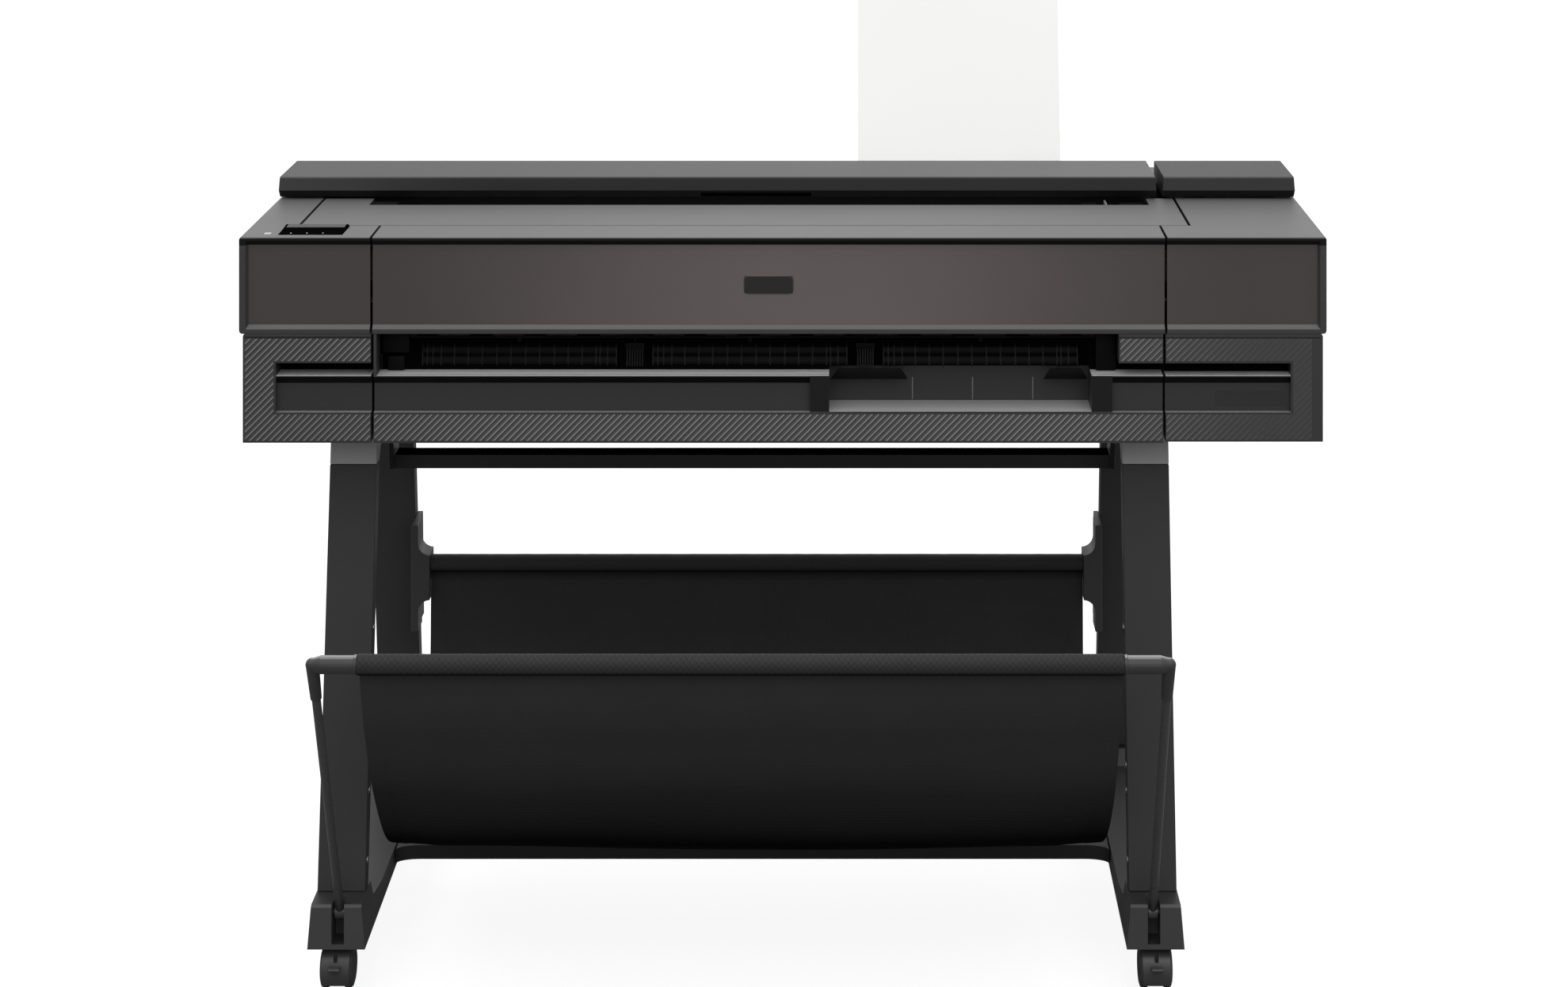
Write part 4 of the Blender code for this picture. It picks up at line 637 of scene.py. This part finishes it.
# ---- mesh toolkit
class Shape:
    """Collects parts of one piece in a single mesh, in the row frame."""

    def __init__(self):
        self.mesh = bmesh.new()

    def block(self, low, high, round_by=0.0004):
        """A box with rounded edges."""
        size = Vector(high) - Vector(low)
        place = Matrix.Translation((Vector(low) + Vector(high)) / 2)
        scale = Matrix.Diagonal((*size, 1.0))
        made = bmesh.ops.create_cube(self.mesh, size=1.0, matrix=place @ scale)
        self.round_off(made["verts"], round_by)

    def round_off(self, verts, width):
        """Rounds the edges at the vertices."""
        if width <= 0:
            return
        edges = {edge for vert in verts for edge in vert.link_edges}
        bmesh.ops.bevel(
            self.mesh, geom=list(edges), offset=width, segments=2,
            profile=0.5, affect="EDGES", clamp_overlap=True,
        )

    def bridge(self, rings):
        """Faces between neighbouring closed rings."""
        faces = []
        for one, two in zip(rings, rings[1:]):
            count = len(one)
            for s in range(count):
                face = (one[s], one[(s + 1) % count], two[(s + 1) % count], two[s])
                faces.append(self.mesh.faces.new(face))
        return faces

    def prism(self, outline, axis, start, end, round_by=0.0):
        """An outline in the plane across an axis, drawn out from start to end."""
        def point(pair, along):
            values = list(pair)
            values.insert(axis, along)
            return self.mesh.verts.new(values)

        rings = [[point(pair, along) for pair in outline] for along in (start, end)]
        faces = [self.mesh.faces.new(ring) for ring in rings] + self.bridge(rings)
        bmesh.ops.recalc_face_normals(self.mesh, faces=faces)
        self.round_off(rings[0] + rings[1], round_by)

    def tube(self, path, radius, sides=16):
        """A round bar along a path; radius may be one number or one for each point."""
        points = [Vector(p) for p in path]
        radii = radius if isinstance(radius, (list, tuple)) else [radius] * len(points)
        up = Vector((0.0, 0.0, 1.0))
        first = (points[1] - points[0]).normalized()
        if abs(first.dot(up)) > 0.9:
            up = Vector((1.0, 0.0, 0.0))
        side = first.cross(up).normalized()
        rings = []
        for k, point in enumerate(points):
            ahead = points[min(k + 1, len(points) - 1)] - points[max(k - 1, 0)]
            ahead.normalize()
            side = (side - ahead * side.dot(ahead)).normalized()
            other = ahead.cross(side)
            ring = []
            for s in range(sides):
                a = 2 * math.pi * s / sides
                offset = side * math.cos(a) + other * math.sin(a)
                ring.append(self.mesh.verts.new(point + offset * radii[k]))
            rings.append(ring)
        self.bridge(rings)
        self.mesh.faces.new(rings[0][::-1])
        self.mesh.faces.new(rings[-1])

    def screw(self, centre, axis, radius=0.0035):
        """A low pan head with a cross recess; axis points out of the surface."""
        out = Vector(axis).normalized()
        up = Vector((0, 0, 1)) if abs(out.z) < 0.9 else Vector((0, 1, 0))
        side = out.cross(up).normalized()
        up = side.cross(out)
        profile = ((1.0, 0.0), (0.98, 0.18), (0.86, 0.34), (0.6, 0.44), (0.3, 0.48))
        rings = []
        sides = 16
        for reach, rise in profile:
            ring = []
            for s in range(sides):
                a = 2 * math.pi * s / sides
                spoke = side * math.cos(a) + up * math.sin(a)
                lift = rise - (0.25 if reach < 0.65 and s % 4 == 0 else 0.0)
                place = Vector(centre) + spoke * radius * reach + out * radius * lift
                ring.append(self.mesh.verts.new(place))
            rings.append(ring)
        self.bridge(rings)
        self.mesh.faces.new(rings[-1])

    def emit(self, name, body="stand", material="comb", slot="black_plastic", angle=32.0):
        """Turns the parts into one named piece that rides a body, if one is given."""
        bmesh.ops.recalc_face_normals(self.mesh, faces=self.mesh.faces)
        piece = self.place(name, material)
        piece.data.shade_smooth()
        piece.data.set_sharp_from_angle(angle=math.radians(angle))
        if body:
            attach(piece, body)
        return piece

    def place(self, name, material):
        """Puts the mesh in the scene as one object."""
        data = bpy.data.meshes.new(name)
        self.mesh.to_mesh(data)
        self.mesh.free()
        data.materials.append(MAT[material])
        piece = bpy.data.objects.new(name, data)
        bpy.context.scene.collection.objects.link(piece)
        return piece

    def skin(self, grid, flip):
        """Faces over a grid of vertices; flip turns them over."""
        for one, two in zip(grid, grid[1:]):
            for c in range(len(one) - 1):
                face = (one[c], one[c + 1], two[c + 1], two[c])
                self.mesh.faces.new(face[::-1] if flip else face)


# ---- ribbed fronts
RIB_PROFILE = ((0.0, 0.0), (0.40, 0.42), (0.76, 0.95), (0.84, 1.0), (0.92, 0.72), (0.98, 0.10), (1.0, 0.0))


def clip(polygon, axis, limit, keep_above):
    """Part of a flat polygon on one side of a line across an axis."""
    sign = 1.0 if keep_above else -1.0
    result = []
    for k, here in enumerate(polygon):
        last = polygon[k - 1]
        d0 = (last[axis] - limit) * sign
        d1 = (here[axis] - limit) * sign
        if d0 * d1 < 0:
            t = d0 / (d0 - d1)
            result.append(tuple(last[i] + (here[i] - last[i]) * t for i in (0, 1)))
        if d1 >= 0:
            result.append(here)
    return result


def rib_strips(x0, x1, z0, z1):
    """Strips of the rib profile inside a rectangle, as flat polygons with their heights."""
    first = math.floor((x0 - z1) / RIB_PITCH)
    last = math.ceil((x1 - z0) / RIB_PITCH)
    for rib in range(first, last + 1):
        for (a, ha), (b, hb) in zip(RIB_PROFILE, RIB_PROFILE[1:]):
            ua, ub = (rib + a) * RIB_PITCH, (rib + b) * RIB_PITCH
            strip = [(ua + z0, z0), (ub + z0, z0), (ub + z1, z1), (ua + z1, z1)]
            for axis, limit, above in ((0, x0, True), (0, x1, False), (1, z0, True), (1, z1, False)):
                strip = clip(strip, axis, limit, above)
            if len(strip) >= 3:
                yield strip, ua, ub, ha, hb


def ribbed_front(name, body, rectangles):
    """A ribbed skin over parts of the lower front, with a rim down to the cover."""
    shape = Shape()
    mesh = shape.mesh
    for rectangle in rectangles:
        for strip, ua, ub, ha, hb in rib_strips(*rectangle):
            verts = []
            for x, z in strip:
                share = (x - z - ua) / (ub - ua)
                height = RIB_HEIGHT * (ha + (hb - ha) * share)
                verts.append(mesh.verts.new((x, FRONT_Y - 0.0002 - height, z)))
            mesh.faces.new(verts)
    bmesh.ops.remove_doubles(mesh, verts=mesh.verts, dist=0.00001)
    open_edges = [edge for edge in mesh.edges if len(edge.link_faces) == 1]
    rim = bmesh.ops.extrude_edge_only(mesh, edges=open_edges)
    for item in rim["geom"]:
        if isinstance(item, bmesh.types.BMVert):
            item.co.y = FRONT_Y + 0.0003
    return shape.emit(name, body, "ribbed", "shell_dark", 25.0)


RIM = 0.0026
LOW, HIGH = LOWER_Z0 + 0.0028, GROOVE_Z - 0.0004
DOOR_LOW = LOW + 0.001
UNDER, OVER = RECESS_Z[0] - RIM, RECESS_Z[1] + RIM
LEFT_RIM, RIGHT_RIM = RECESS_X[0] - RIM, RECESS_X[1] + RIM
LEFT_FRONT = (-0.6512, -0.4995)
MIDDLE_FRONT = (-0.4945, 0.4594)
DOOR_FRONT = (0.4645, 0.6405)


def round_recess(outer, rim, inner, low):
    """The rectangles round one end of the long recess."""
    end, rest = sorted((outer, rim)), sorted((rim, inner))
    return [
        (*end, low, UNDER), (*end, UNDER, OVER), (*end, OVER, HIGH),
        (*rest, OVER, HIGH), (*rest, low, UNDER),
    ]


ribbed_front("left_ribbed_front", "stand", round_recess(LEFT_FRONT[0], LEFT_RIM, LEFT_FRONT[1], LOW))
ribbed_front("middle_ribbed_front", "stand", [
    (*MIDDLE_FRONT, LOW, UNDER),
    (EXIT_X[1] + 0.0016, MIDDLE_FRONT[1], OVER, HIGH),
])
door_rectangles = round_recess(DOOR_FRONT[1], RIGHT_RIM, DOOR_FRONT[0], DOOR_LOW)
ribbed_front("door_ribbed_front", "cartridge_door", door_rectangles)


# ---- paper exit
def on_slope(share, out=0.0):
    """Point (y, z) on the sloping exit guide, out towards the front."""
    y0, z0 = EXIT_FOOT
    y1, z1 = EXIT_HEAD
    length = math.hypot(y1 - y0, z1 - z0)
    ny, nz = -(z1 - z0) / length, (y1 - y0) / length
    return y0 + (y1 - y0) * share + ny * out, z0 + (z1 - z0) * share + nz * out


def slope_outline(*points):
    """An outline from points given as (share, out)."""
    return [on_slope(*point) for point in points]


def comb_places():
    """Where the guide fins stand, and the blocks between their modules."""
    millimetres = [22, 28, 35, 45, 61, 78, 95, 113, 130, 148, 165, 183, 200, 217, 234, 239, 248, 259]
    fins, blocks = [], []
    for module in range(-2, 3):
        centre = COMB_CENTRE + module * COMB_MODULE
        blocks.append(centre)
        fins += [centre + offset / 1000 for offset in millimetres]
    low, high = EXIT_X[0] + 0.030, EXIT_X[1] - 0.030
    return [x for x in fins if low < x < high], [x for x in blocks if low < x < high]


def exit_comb():
    """Rounded guide cells in two rows, with fins between them."""
    fins, blocks = comb_places()
    shape = Shape()
    edges = sorted(fins)
    for x0, x1 in zip(edges, edges[1:]):
        if any(x0 < block < x1 for block in blocks):
            continue
        for low, high, deep in ((0.20, 0.49, 0.0020), (0.54, 0.82, 0.0030)):
            outline = slope_outline(
                (low, -0.001), (low, deep * 0.5), (low + 0.07, deep),
                (high - 0.07, deep), (high, deep * 0.5), (high, -0.001),
            )
            shape.prism(outline, 0, x0 + 0.0009, x1 - 0.0009)
    shape.emit("exit_guide_cells", angle=20.0)
    shape = Shape()
    outline = slope_outline(
        (0.10, -0.001), (0.14, 0.0030), (0.45, 0.0046), (0.80, 0.0056), (0.92, 0.0040), (0.96, -0.001),
    )
    for x in fins:
        shape.prism(outline, 0, x - 0.0006, x + 0.0006)
    shape.emit("exit_guide_fins")


def exit_blocks():
    """Spring blocks, painted near black as shade in the paper exit, with fine fins under them, between the
    guide modules.
    """
    shape = Shape()
    outline = slope_outline(
        (0.08, -0.001), (0.10, 0.0040), (0.5, 0.0056), (0.72, 0.0050), (0.72, -0.001),
    )
    for centre in comb_places()[1]:
        y, z = on_slope(0.80, 0.0035)
        half = 0.0115
        shape.block((centre - half, y - 0.004, z - 0.004), (centre + half, y + 0.003, z + 0.004), 0.0007)
        for k in range(-3, 4):
            x = centre + k * 0.0031
            shape.prism(outline, 0, x - 0.0007, x + 0.0007)
        y, z = on_slope(0.98, 0.003)
        half = 0.0015
        shape.block((centre - half, y - half, z - 0.004), (centre + half, y + half, z + 0.006), 0.0004)
    left, right = EXIT_X
    shape.block((left + 0.004, -0.1335, 0.7520), (left + 0.036, -0.1180, 0.7740), 0.0008)
    shape.block((right - 0.026, -0.1335, 0.7300), (right - 0.002, -0.1220, 0.7740), 0.0008)
    shape.emit("exit_spring_blocks")
    shape = Shape()
    shape.block((left + 0.0015, -0.1345, 0.7330), (left + 0.0035, -0.1270, 0.7500), 0.0004)
    shape.block((left + 0.010, -0.1330, 0.7300), (left + 0.030, -0.1220, 0.7470), 0.0012)
    shape.emit("exit_end_guide")


def exit_clips():
    """Flat spring clips hanging over the guide on a thin bar."""
    shape = Shape()
    blocks = comb_places()[1]
    y, z = -0.1235, 0.7688
    shape.tube([(EXIT_X[0] + 0.04, y, z), (EXIT_X[1] - 0.03, y, z)], 0.0014, 10)
    for centre in [blocks[0] - COMB_MODULE / 2] + [b + COMB_MODULE / 2 for b in blocks]:
        half, low, high = 0.029, z - 0.0012, z + 0.0018
        shape.block((centre - half, y - 0.0022, low), (centre + half, y - 0.0012, high), 0.0003)
        half, low, high = 0.0022, z - 0.0055, z - 0.0005
        shape.block((centre - half, y - 0.0030, low), (centre + half, y - 0.0010, high), 0.0006)
    for centre in blocks:
        for sign in (-1, 1):
            run = ((0.0, 0.003), (0.012, 0.0025), (0.022, -0.001))
            path = [(centre + sign * across, y - 0.002, z + rise) for across, rise in run]
            shape.tube(path, 0.0009, 8)
    shape.emit("exit_spring_clips")


def tray_detail():
    """Thin raised lines and slotted plates on the back of the small tray."""
    shape = Shape()
    low, high = TRAY_FLOOR_Z + 0.0012, 0.7145
    for x in (0.158, 0.232, 0.306):
        shape.block((x - 0.0007, TRAY_Y - 0.0006, low), (x + 0.0007, TRAY_Y + 0.0004, high), 0.0002)
    shape.emit("tray_guide_lines", "stand", "trim", "shell_dark")
    shape = Shape()
    for x0, x1 in ((0.062, 0.148), (0.322, 0.368)):
        y = EXIT_FOOT[0] + 0.004
        low, high = 0.7165, POST_Z[1]
        outline = [(x0 - 0.004, low), (x0 + 0.004, high), (x1 - 0.004, high), (x1 + 0.004, low)]
        shape.prism(outline, 1, y, y + 0.003, 0.0004)
    shape.emit("tray_cover_plates")


exit_comb()
exit_blocks()
exit_clips()
tray_detail()


# ---- name plate
def rounded_outline(x0, x1, z0, z1, radius, steps=5):
    """A rectangle with round corners."""
    points = []
    for cx, cz, start in ((x1 - radius, z1 - radius, 0), (x0 + radius, z1 - radius, 90),
                          (x0 + radius, z0 + radius, 180), (x1 - radius, z0 + radius, 270)):
        for k in range(steps + 1):
            a = math.radians(start + 90 * k / steps)
            points.append((cx + radius * math.cos(a), cz + radius * math.sin(a)))
    return points


def name_plate():
    """A blank plate let into the recess of the cartridge door."""
    shape = Shape()
    outline = rounded_outline(0.525, 0.608, 0.692, 0.709, 0.0015)
    shape.prism(outline, 1, RECESS_Y - 0.0005, RECESS_Y + 0.0003)
    shape.emit("blank_name_plate", "cartridge_door", "plate", "black_plastic")


name_plate()


# ---- catch basket
def catmull(points, per_span):
    """A smooth curve through the points."""
    pts = [2 * np.array(points[0]) - np.array(points[1])]
    pts += [np.array(p) for p in points]
    pts.append(2 * pts[-1] - pts[-2])
    curve = []
    for k in range(1, len(pts) - 2):
        p0, p1, p2, p3 = pts[k - 1:k + 3]
        for step in range(per_span):
            t = step / per_span
            a = 2 * p1 + (p2 - p0) * t
            b = (2 * p0 - 5 * p1 + 4 * p2 - p3) * t ** 2
            c = (3 * p1 - p0 - 3 * p2 + p3) * t ** 3
            curve.append((a + b + c) / 2)
    curve.append(pts[-2])
    return np.array(curve)


# Middle line of the cloth, (y, z), from the front bar down and up to the rear bar.
FABRIC_CURVE = (
    (-0.3730, 0.4448), (-0.3640, 0.4140), (-0.335, 0.3560), (-0.2807, 0.2706), (-0.200, 0.1880),
    (-0.1108, 0.1433), (-0.020, 0.1210), (0.080, 0.1250), (0.160, 0.1600), (0.210, 0.2150),
    (0.2264, 0.2700), (0.2300, 0.3300), (0.2335, 0.3745),
)


def resample(curve, count):
    """Points at even steps along a curve, with their distances from its start."""
    steps = np.linalg.norm(np.diff(curve, axis=0), axis=1)
    reach = np.concatenate([[0.0], np.cumsum(steps)])
    wanted = np.linspace(0.0, reach[-1], count)
    return np.stack([np.interp(wanted, reach, curve[:, k]) for k in (0, 1)], axis=1), wanted


def fabric_point(curve, normals, row, share_along, across):
    """A point of the cloth: pulled in and sagging in the middle, with small waves near its edges."""
    y, z = curve[row]
    ny, nz = normals[row]
    free = math.sin(math.pi * share_along)
    side = abs(across)
    x = STAND_X + across * (FABRIC_HALF - 0.004 * free ** 4)
    wave = 0.0016 * math.sin(9.0 * share_along + 2.2 * across) * (1 - side ** 2)
    wave += 0.0012 * math.sin(23.0 * share_along + 5.0 * across + 1.0) * side
    edge_lift = 0.0045 * max(0.0, side - 0.86) / 0.14
    belly = -0.004 * (1 - side ** 2)
    push = free * (wave + belly + edge_lift)
    return Vector((x, y + ny * push, z + nz * push))


def hem_lines():
    """Columns across the cloth, -1 to 1, closer together in the side hems."""
    left = np.linspace(-1.0, -0.94, 7)[:-1]
    middle = np.linspace(-0.94, 0.94, 79)
    right = np.linspace(0.94, 1.0, 7)[1:]
    return np.concatenate([left, middle, right])


def cloth_half(share, across, total):
    """Half the cloth's thickness: thicker in the side hems, pinched at the two seams."""
    if abs(across) > 0.955:
        return 0.0006 + 0.0007
    pinch = sum(math.exp(-(((share - seam) * total) / 0.0025) ** 2) for seam in (0.955, 0.035))
    return 0.0006 - 0.0005 * pinch


def basket_cloth():
    """The sling between the two bars, with side hems and a seam by each bar."""
    curve, reach = resample(catmull(FABRIC_CURVE, 12), 110)
    tangent = np.gradient(curve, axis=0)
    tangent /= np.linalg.norm(tangent, axis=1)[:, None]
    normals = np.stack([-tangent[:, 1], tangent[:, 0]], axis=1)
    columns = hem_lines()
    total = reach[-1]
    shape = Shape()
    skins = []
    for sign in (1, -1):
        grid = []
        for row, (ny, nz) in enumerate(normals):
            share = reach[row] / total
            line = []
            for across in columns:
                point = fabric_point(curve, normals, row, share, across)
                half = cloth_half(share, across, total)
                line.append(shape.mesh.verts.new(point + Vector((0.0, ny, nz)) * (half * sign)))
            grid.append(line)
        skins.append(grid)
        shape.skin(grid, sign < 0)
    top, under = skins
    last = len(columns) - 1
    for r in range(len(curve) - 1):
        for c in (0, last):
            shape.mesh.faces.new((top[r][c], top[r + 1][c], under[r + 1][c], under[r][c]))
    for c in range(last):
        for r in (0, len(curve) - 1):
            shape.mesh.faces.new((top[r][c], top[r][c + 1], under[r][c + 1], under[r][c]))
    cloth = shape.emit("basket_cloth", None, "cloth", "basket_cloth", 60.0)
    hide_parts("basket_fabric")
    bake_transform(cloth)


def wrapped_sleeve(name, body, axis, radius, tail, material):
    """Cloth sewn round a bar, closed by a flat tail that hangs from it."""
    cy, cz = axis
    ty, tz = tail
    start = math.atan2(tz - cz, ty - cy)
    loop = []
    for k in range(33):
        a = start + math.radians(22) + math.radians(316) * k / 32
        loop.append((cy + radius * math.cos(a), cz + radius * math.sin(a)))
    outline = [(ty + 0.0011, tz)] + loop + [(ty - 0.0011, tz)]
    shape = Shape()
    rings = []
    rng = random.Random(7)
    for k in range(90):
        x = STAND_X + (2 * k / 89 - 1) * FABRIC_HALF
        ruck = 1.0 + rng.uniform(-0.010, 0.010)
        rings.append([
            shape.mesh.verts.new((x, cy + (y - cy) * ruck, cz + (z - cz) * ruck)) for y, z in outline
        ])
    shape.skin(rings, False)
    bmesh.ops.recalc_face_normals(shape.mesh, faces=shape.mesh.faces)
    bmesh.ops.solidify(shape.mesh, geom=list(shape.mesh.faces), thickness=-0.0005)
    shape.emit(name, body, material, "basket_cloth", 50.0)


def hem_stitches(name, body, y, z):
    """A row of small raised stitches across the cloth."""
    shape = Shape()
    pitch, radius = 0.0055, 0.0005
    count = int(2 * FABRIC_HALF / pitch)
    step = 2 * FABRIC_HALF / count
    for k in range(count):
        start = STAND_X - FABRIC_HALF + step * (k + 0.15)
        end = start + step * 0.70
        path = [(start, y, z), ((start + end) / 2, y, z), (end, y, z)]
        shape.tube(path, [radius * 0.5, radius, radius * 0.5], 5)
    shape.emit(name, body, "thread", "basket_cloth")


basket_cloth()
wrapped_sleeve("front_bar_sleeve", "basket_frame", FRONT_BAR, 0.0113, (-0.3722, 0.4388), "mesh_cloth")
wrapped_sleeve("rear_bar_sleeve", "stand", REAR_BAR, 0.0112, (0.2333, 0.3640), "cloth")
hem_stitches("front_hem_stitches", "basket_frame", -0.3738, 0.4405)
hem_stitches("rear_hem_stitches", "stand", 0.2320, 0.3665)


# ---- stand fittings
def leg_run(z):
    """Y of the front face of a front leg at a height."""
    share = (LEG_TOP[1] - z) / (LEG_TOP[1] - LEG_BASE[1])
    return LEG_TOP[0] + (LEG_BASE[0] - LEG_TOP[0]) * share


def leg_bolts():
    """Bolt heads on the inner faces of the front legs."""
    for side, sign in (("left", -1), ("right", 1)):
        shape = Shape()
        x = STAND_X + sign * LEG_IN
        for z in (0.407, 0.248, 0.2195, 0.141):
            shape.screw((x, leg_run(z) + 0.011, z), (-sign, 0, 0), 0.0042)
        shape.emit(side + "_leg_bolts", "stand", "screw", "sheet_metal")


def elbow_collars():
    """Pressed rings where the front bar enters its elbows."""
    for side, sign in (("left", -1), ("right", 1)):
        shape = Shape()
        ring = ((0.4362, 0.0106), (0.4368, 0.0112), (0.4396, 0.0112), (0.4402, 0.0106))
        path = [(STAND_X + sign * across, *FRONT_BAR) for across, _ in ring]
        shape.tube(path, [radius for _, radius in ring], 28)
        shape.emit(side + "_elbow_collar", "basket_frame", "elbow", "stand_plastic", 40.0)


leg_bolts()
elbow_collars()


# ---- rear and roll bay
def rear_louvres():
    """Fourteen vent louvres low on the back."""
    shape = Shape()
    for k in range(14):
        x = -0.560 + k * 0.012
        shape.block((x, BACK_Y - 0.0010, 0.700), (x + 0.005, BACK_Y + 0.0012, 0.748), 0.0005)
    shape.emit("rear_vent_louvres", material="black")


def rear_screws():
    """Screws along the top and the bottom of the rear cover."""
    shape = Shape()
    for x in (-0.645, -0.300, 0.0, 0.300, 0.645):
        for z in (0.662, 0.872):
            shape.screw((x, BACK_Y, z), (0, 1, 0), 0.0038)
    shape.emit("rear_cover_screws", "stand", "screw", "sheet_metal")


# Each socket: x and z of the frame, how far it stands out, its margin, its rounding.
SOCKETS = (
    ((0.540, 0.582), (0.690, 0.722), 0.0022, (0.006, 0.005), (0.0012, 0.0004)),
    ((0.480, 0.500), (0.692, 0.710), 0.0018, (0.0025, 0.0025), (0.0008, 0.0003)),
    ((0.446, 0.464), (0.692, 0.706), 0.0018, (0.0025, 0.0025), (0.0008, 0.0003)),
)


def rear_sockets():
    """The power inlet and two data sockets, with a dark mouth in each."""
    frames, mouths, pins = Shape(), Shape(), Shape()
    for (x0, x1), (z0, z1), out, (side, above), (outer, inner) in SOCKETS:
        frames.block((x0, BACK_Y - 0.001, z0), (x1, BACK_Y + out, z1), outer)
        low = (x0 + side, BACK_Y + out - 0.0004, z0 + above)
        mouths.block(low, (x1 - side, BACK_Y + out + 0.0004, z1 - above), inner)
    for x in (0.553, 0.561, 0.569):
        pins.block((x - 0.001, BACK_Y + 0.0022, 0.701), (x + 0.001, BACK_Y + 0.0032, 0.711), 0.0003)
    frames.emit("rear_socket_frames", material="dark")
    mouths.emit("rear_socket_mouths")
    pins.emit("power_inlet_pins", "stand", "steel", "turned_steel")


def bay_guides():
    """Small upright guides seen in the gap under the long cover."""
    shape = Shape()
    shape.block((-0.533, 0.064, 0.866), (-0.500, 0.088, 0.8966), 0.0008)
    shape.block((0.380, 0.066, 0.872), (0.398, 0.086, 0.8952), 0.0008)
    shape.block((0.428, 0.066, 0.872), (0.458, 0.086, 0.8952), 0.0008)
    shape.emit("bay_edge_guides")
    shape = Shape()
    shape.block((0.4085, 0.060, 0.868), (0.4112, 0.090, 0.8972), 0.0006)
    shape.emit("bay_edge_fin", material="trim")


rear_louvres()
rear_screws()
rear_sockets()
bay_guides()


# ---- paper
def fed_sheet():
    """A loose sheet standing in the rear feeder, slightly bowed."""
    low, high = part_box("loaded_sheet")
    foot = Vector((0, low.y + 0.0006, low.z))
    lean = math.radians(14.0)
    up = Vector((0, math.sin(lean), math.cos(lean)))
    out = Vector((0, math.cos(lean), -math.sin(lean)))
    shape = Shape()
    rows, cols = 60, 28
    for thick in (0.00014, -0.00014):
        grid = []
        for r in range(rows):
            v = r / (rows - 1)
            line = []
            for c in range(cols):
                u = c / (cols - 1)
                x = low.x + (high.x - low.x) * u
                free = max(0.0, v - 0.30) / 0.70
                bow = 0.0035 * free * (4 * (u - 0.5) ** 2 - 0.35) + 0.0025 * free ** 2
                point = foot + up * (SHEET_HEIGHT * v) + out * (bow + thick)
                line.append(shape.mesh.verts.new((x, point.y, min(point.z, high.z))))
            grid.append(line)
        shape.skin(grid, thick < 0)
    sheet = shape.emit("fed_sheet", "sheet", "paper", "paper_white", 60.0)
    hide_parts("loaded_sheet")


fed_sheet()


# ---- stage
def new_light(name, kind, power):
    """A light and the object that holds it."""
    light = bpy.data.lights.new(name, kind)
    light.energy = power
    lamp = bpy.data.objects.new(name, light)
    bpy.context.scene.collection.objects.link(lamp)
    return light, lamp


def studio_floor():
    """A very large flat floor at height 0."""
    shape = Shape()
    reach = 60.0
    corners = ((-reach, -reach), (reach, -reach), (reach, reach), (-reach, reach))
    shape.mesh.faces.new([shape.mesh.verts.new((x, y, 0.0)) for x, y in corners])
    shape.place("studio_floor", "floor")


def studio_world():
    """Even grey surroundings, brighter overhead and behind; the camera sees them white."""
    world = bpy.data.worlds.new("studio")
    bpy.context.scene.world = world
    world.use_nodes = True
    tree = world.node_tree
    background = tree.nodes["Background"]
    coords = tree.nodes.new("ShaderNodeTexCoord")
    split = tree.nodes.new("ShaderNodeSeparateXYZ")
    path = tree.nodes.new("ShaderNodeLightPath")
    tree.links.new(coords.outputs["Generated"], split.inputs[0])
    depth, height = Field(tree, split.outputs[1]), Field(tree, split.outputs[2])
    seen = Field(tree, path.outputs["Is Camera Ray"])
    ceiling = height.rise(0.25, 0.85, 0.0, 0.70)
    backdrop = depth.rise(-0.1, 0.7, 0.0, 0.75) * height.rise(0.15, 0.55, 1.0, 0.0)
    level = (ceiling + backdrop + 0.40).either(seen)
    tree.links.new(level.socket, background.inputs["Strength"])
    background.inputs["Color"].default_value = (1.0, 1.0, 1.0, 1.0)


def studio_lights():
    """A wide soft sun from above and one soft light at the front."""
    sun, lamp = new_light("overhead", "SUN", 1.1)
    sun.angle = math.radians(70)
    lamp.rotation_euler = (math.radians(10), math.radians(-6), 0)
    lamp.visible_glossy = False
    fill, lamp = new_light("front_fill", "AREA", 22.0)
    fill.shape = "RECTANGLE"
    fill.size, fill.size_y = 2.6, 1.8
    place, target = Vector((0.5, -3.4, 2.4)), Vector((0.1, 0.0, 0.7))
    lamp.location = place
    lamp.rotation_euler = (target - place).to_track_quat("-Z", "Y").to_euler()
    lamp.visible_camera = False


def plain_view():
    """Colours are shown as they are, with no film look."""
    settings = bpy.context.scene.view_settings
    settings.view_transform = "Standard"
    settings.look = "None"


def camera():
    """Level camera with a shifted lens."""
    data = bpy.data.cameras.new("camera")
    data.sensor_width = 36.0
    data.lens = 70.945
    data.clip_end = 200.0
    eye = bpy.data.objects.new("camera", data)
    eye.location = EYE
    eye.rotation_euler = (math.radians(90), 0, 0)
    bpy.context.scene.collection.objects.link(eye)
    bpy.context.scene.camera = eye
    for path, amount in (("shift_x", -0.0417), ("shift_y", -0.5432)):
        curve = data.driver_add(path)
        curve.driver.type = "SUM"
        curve.modifiers[0].coefficients = (0.0, amount)
        target = curve.driver.variables.new().targets[0]
        target.id = eye
        target.data_path = "rotation_mode"


studio_floor()
studio_world()
studio_lights()
plain_view()
camera()
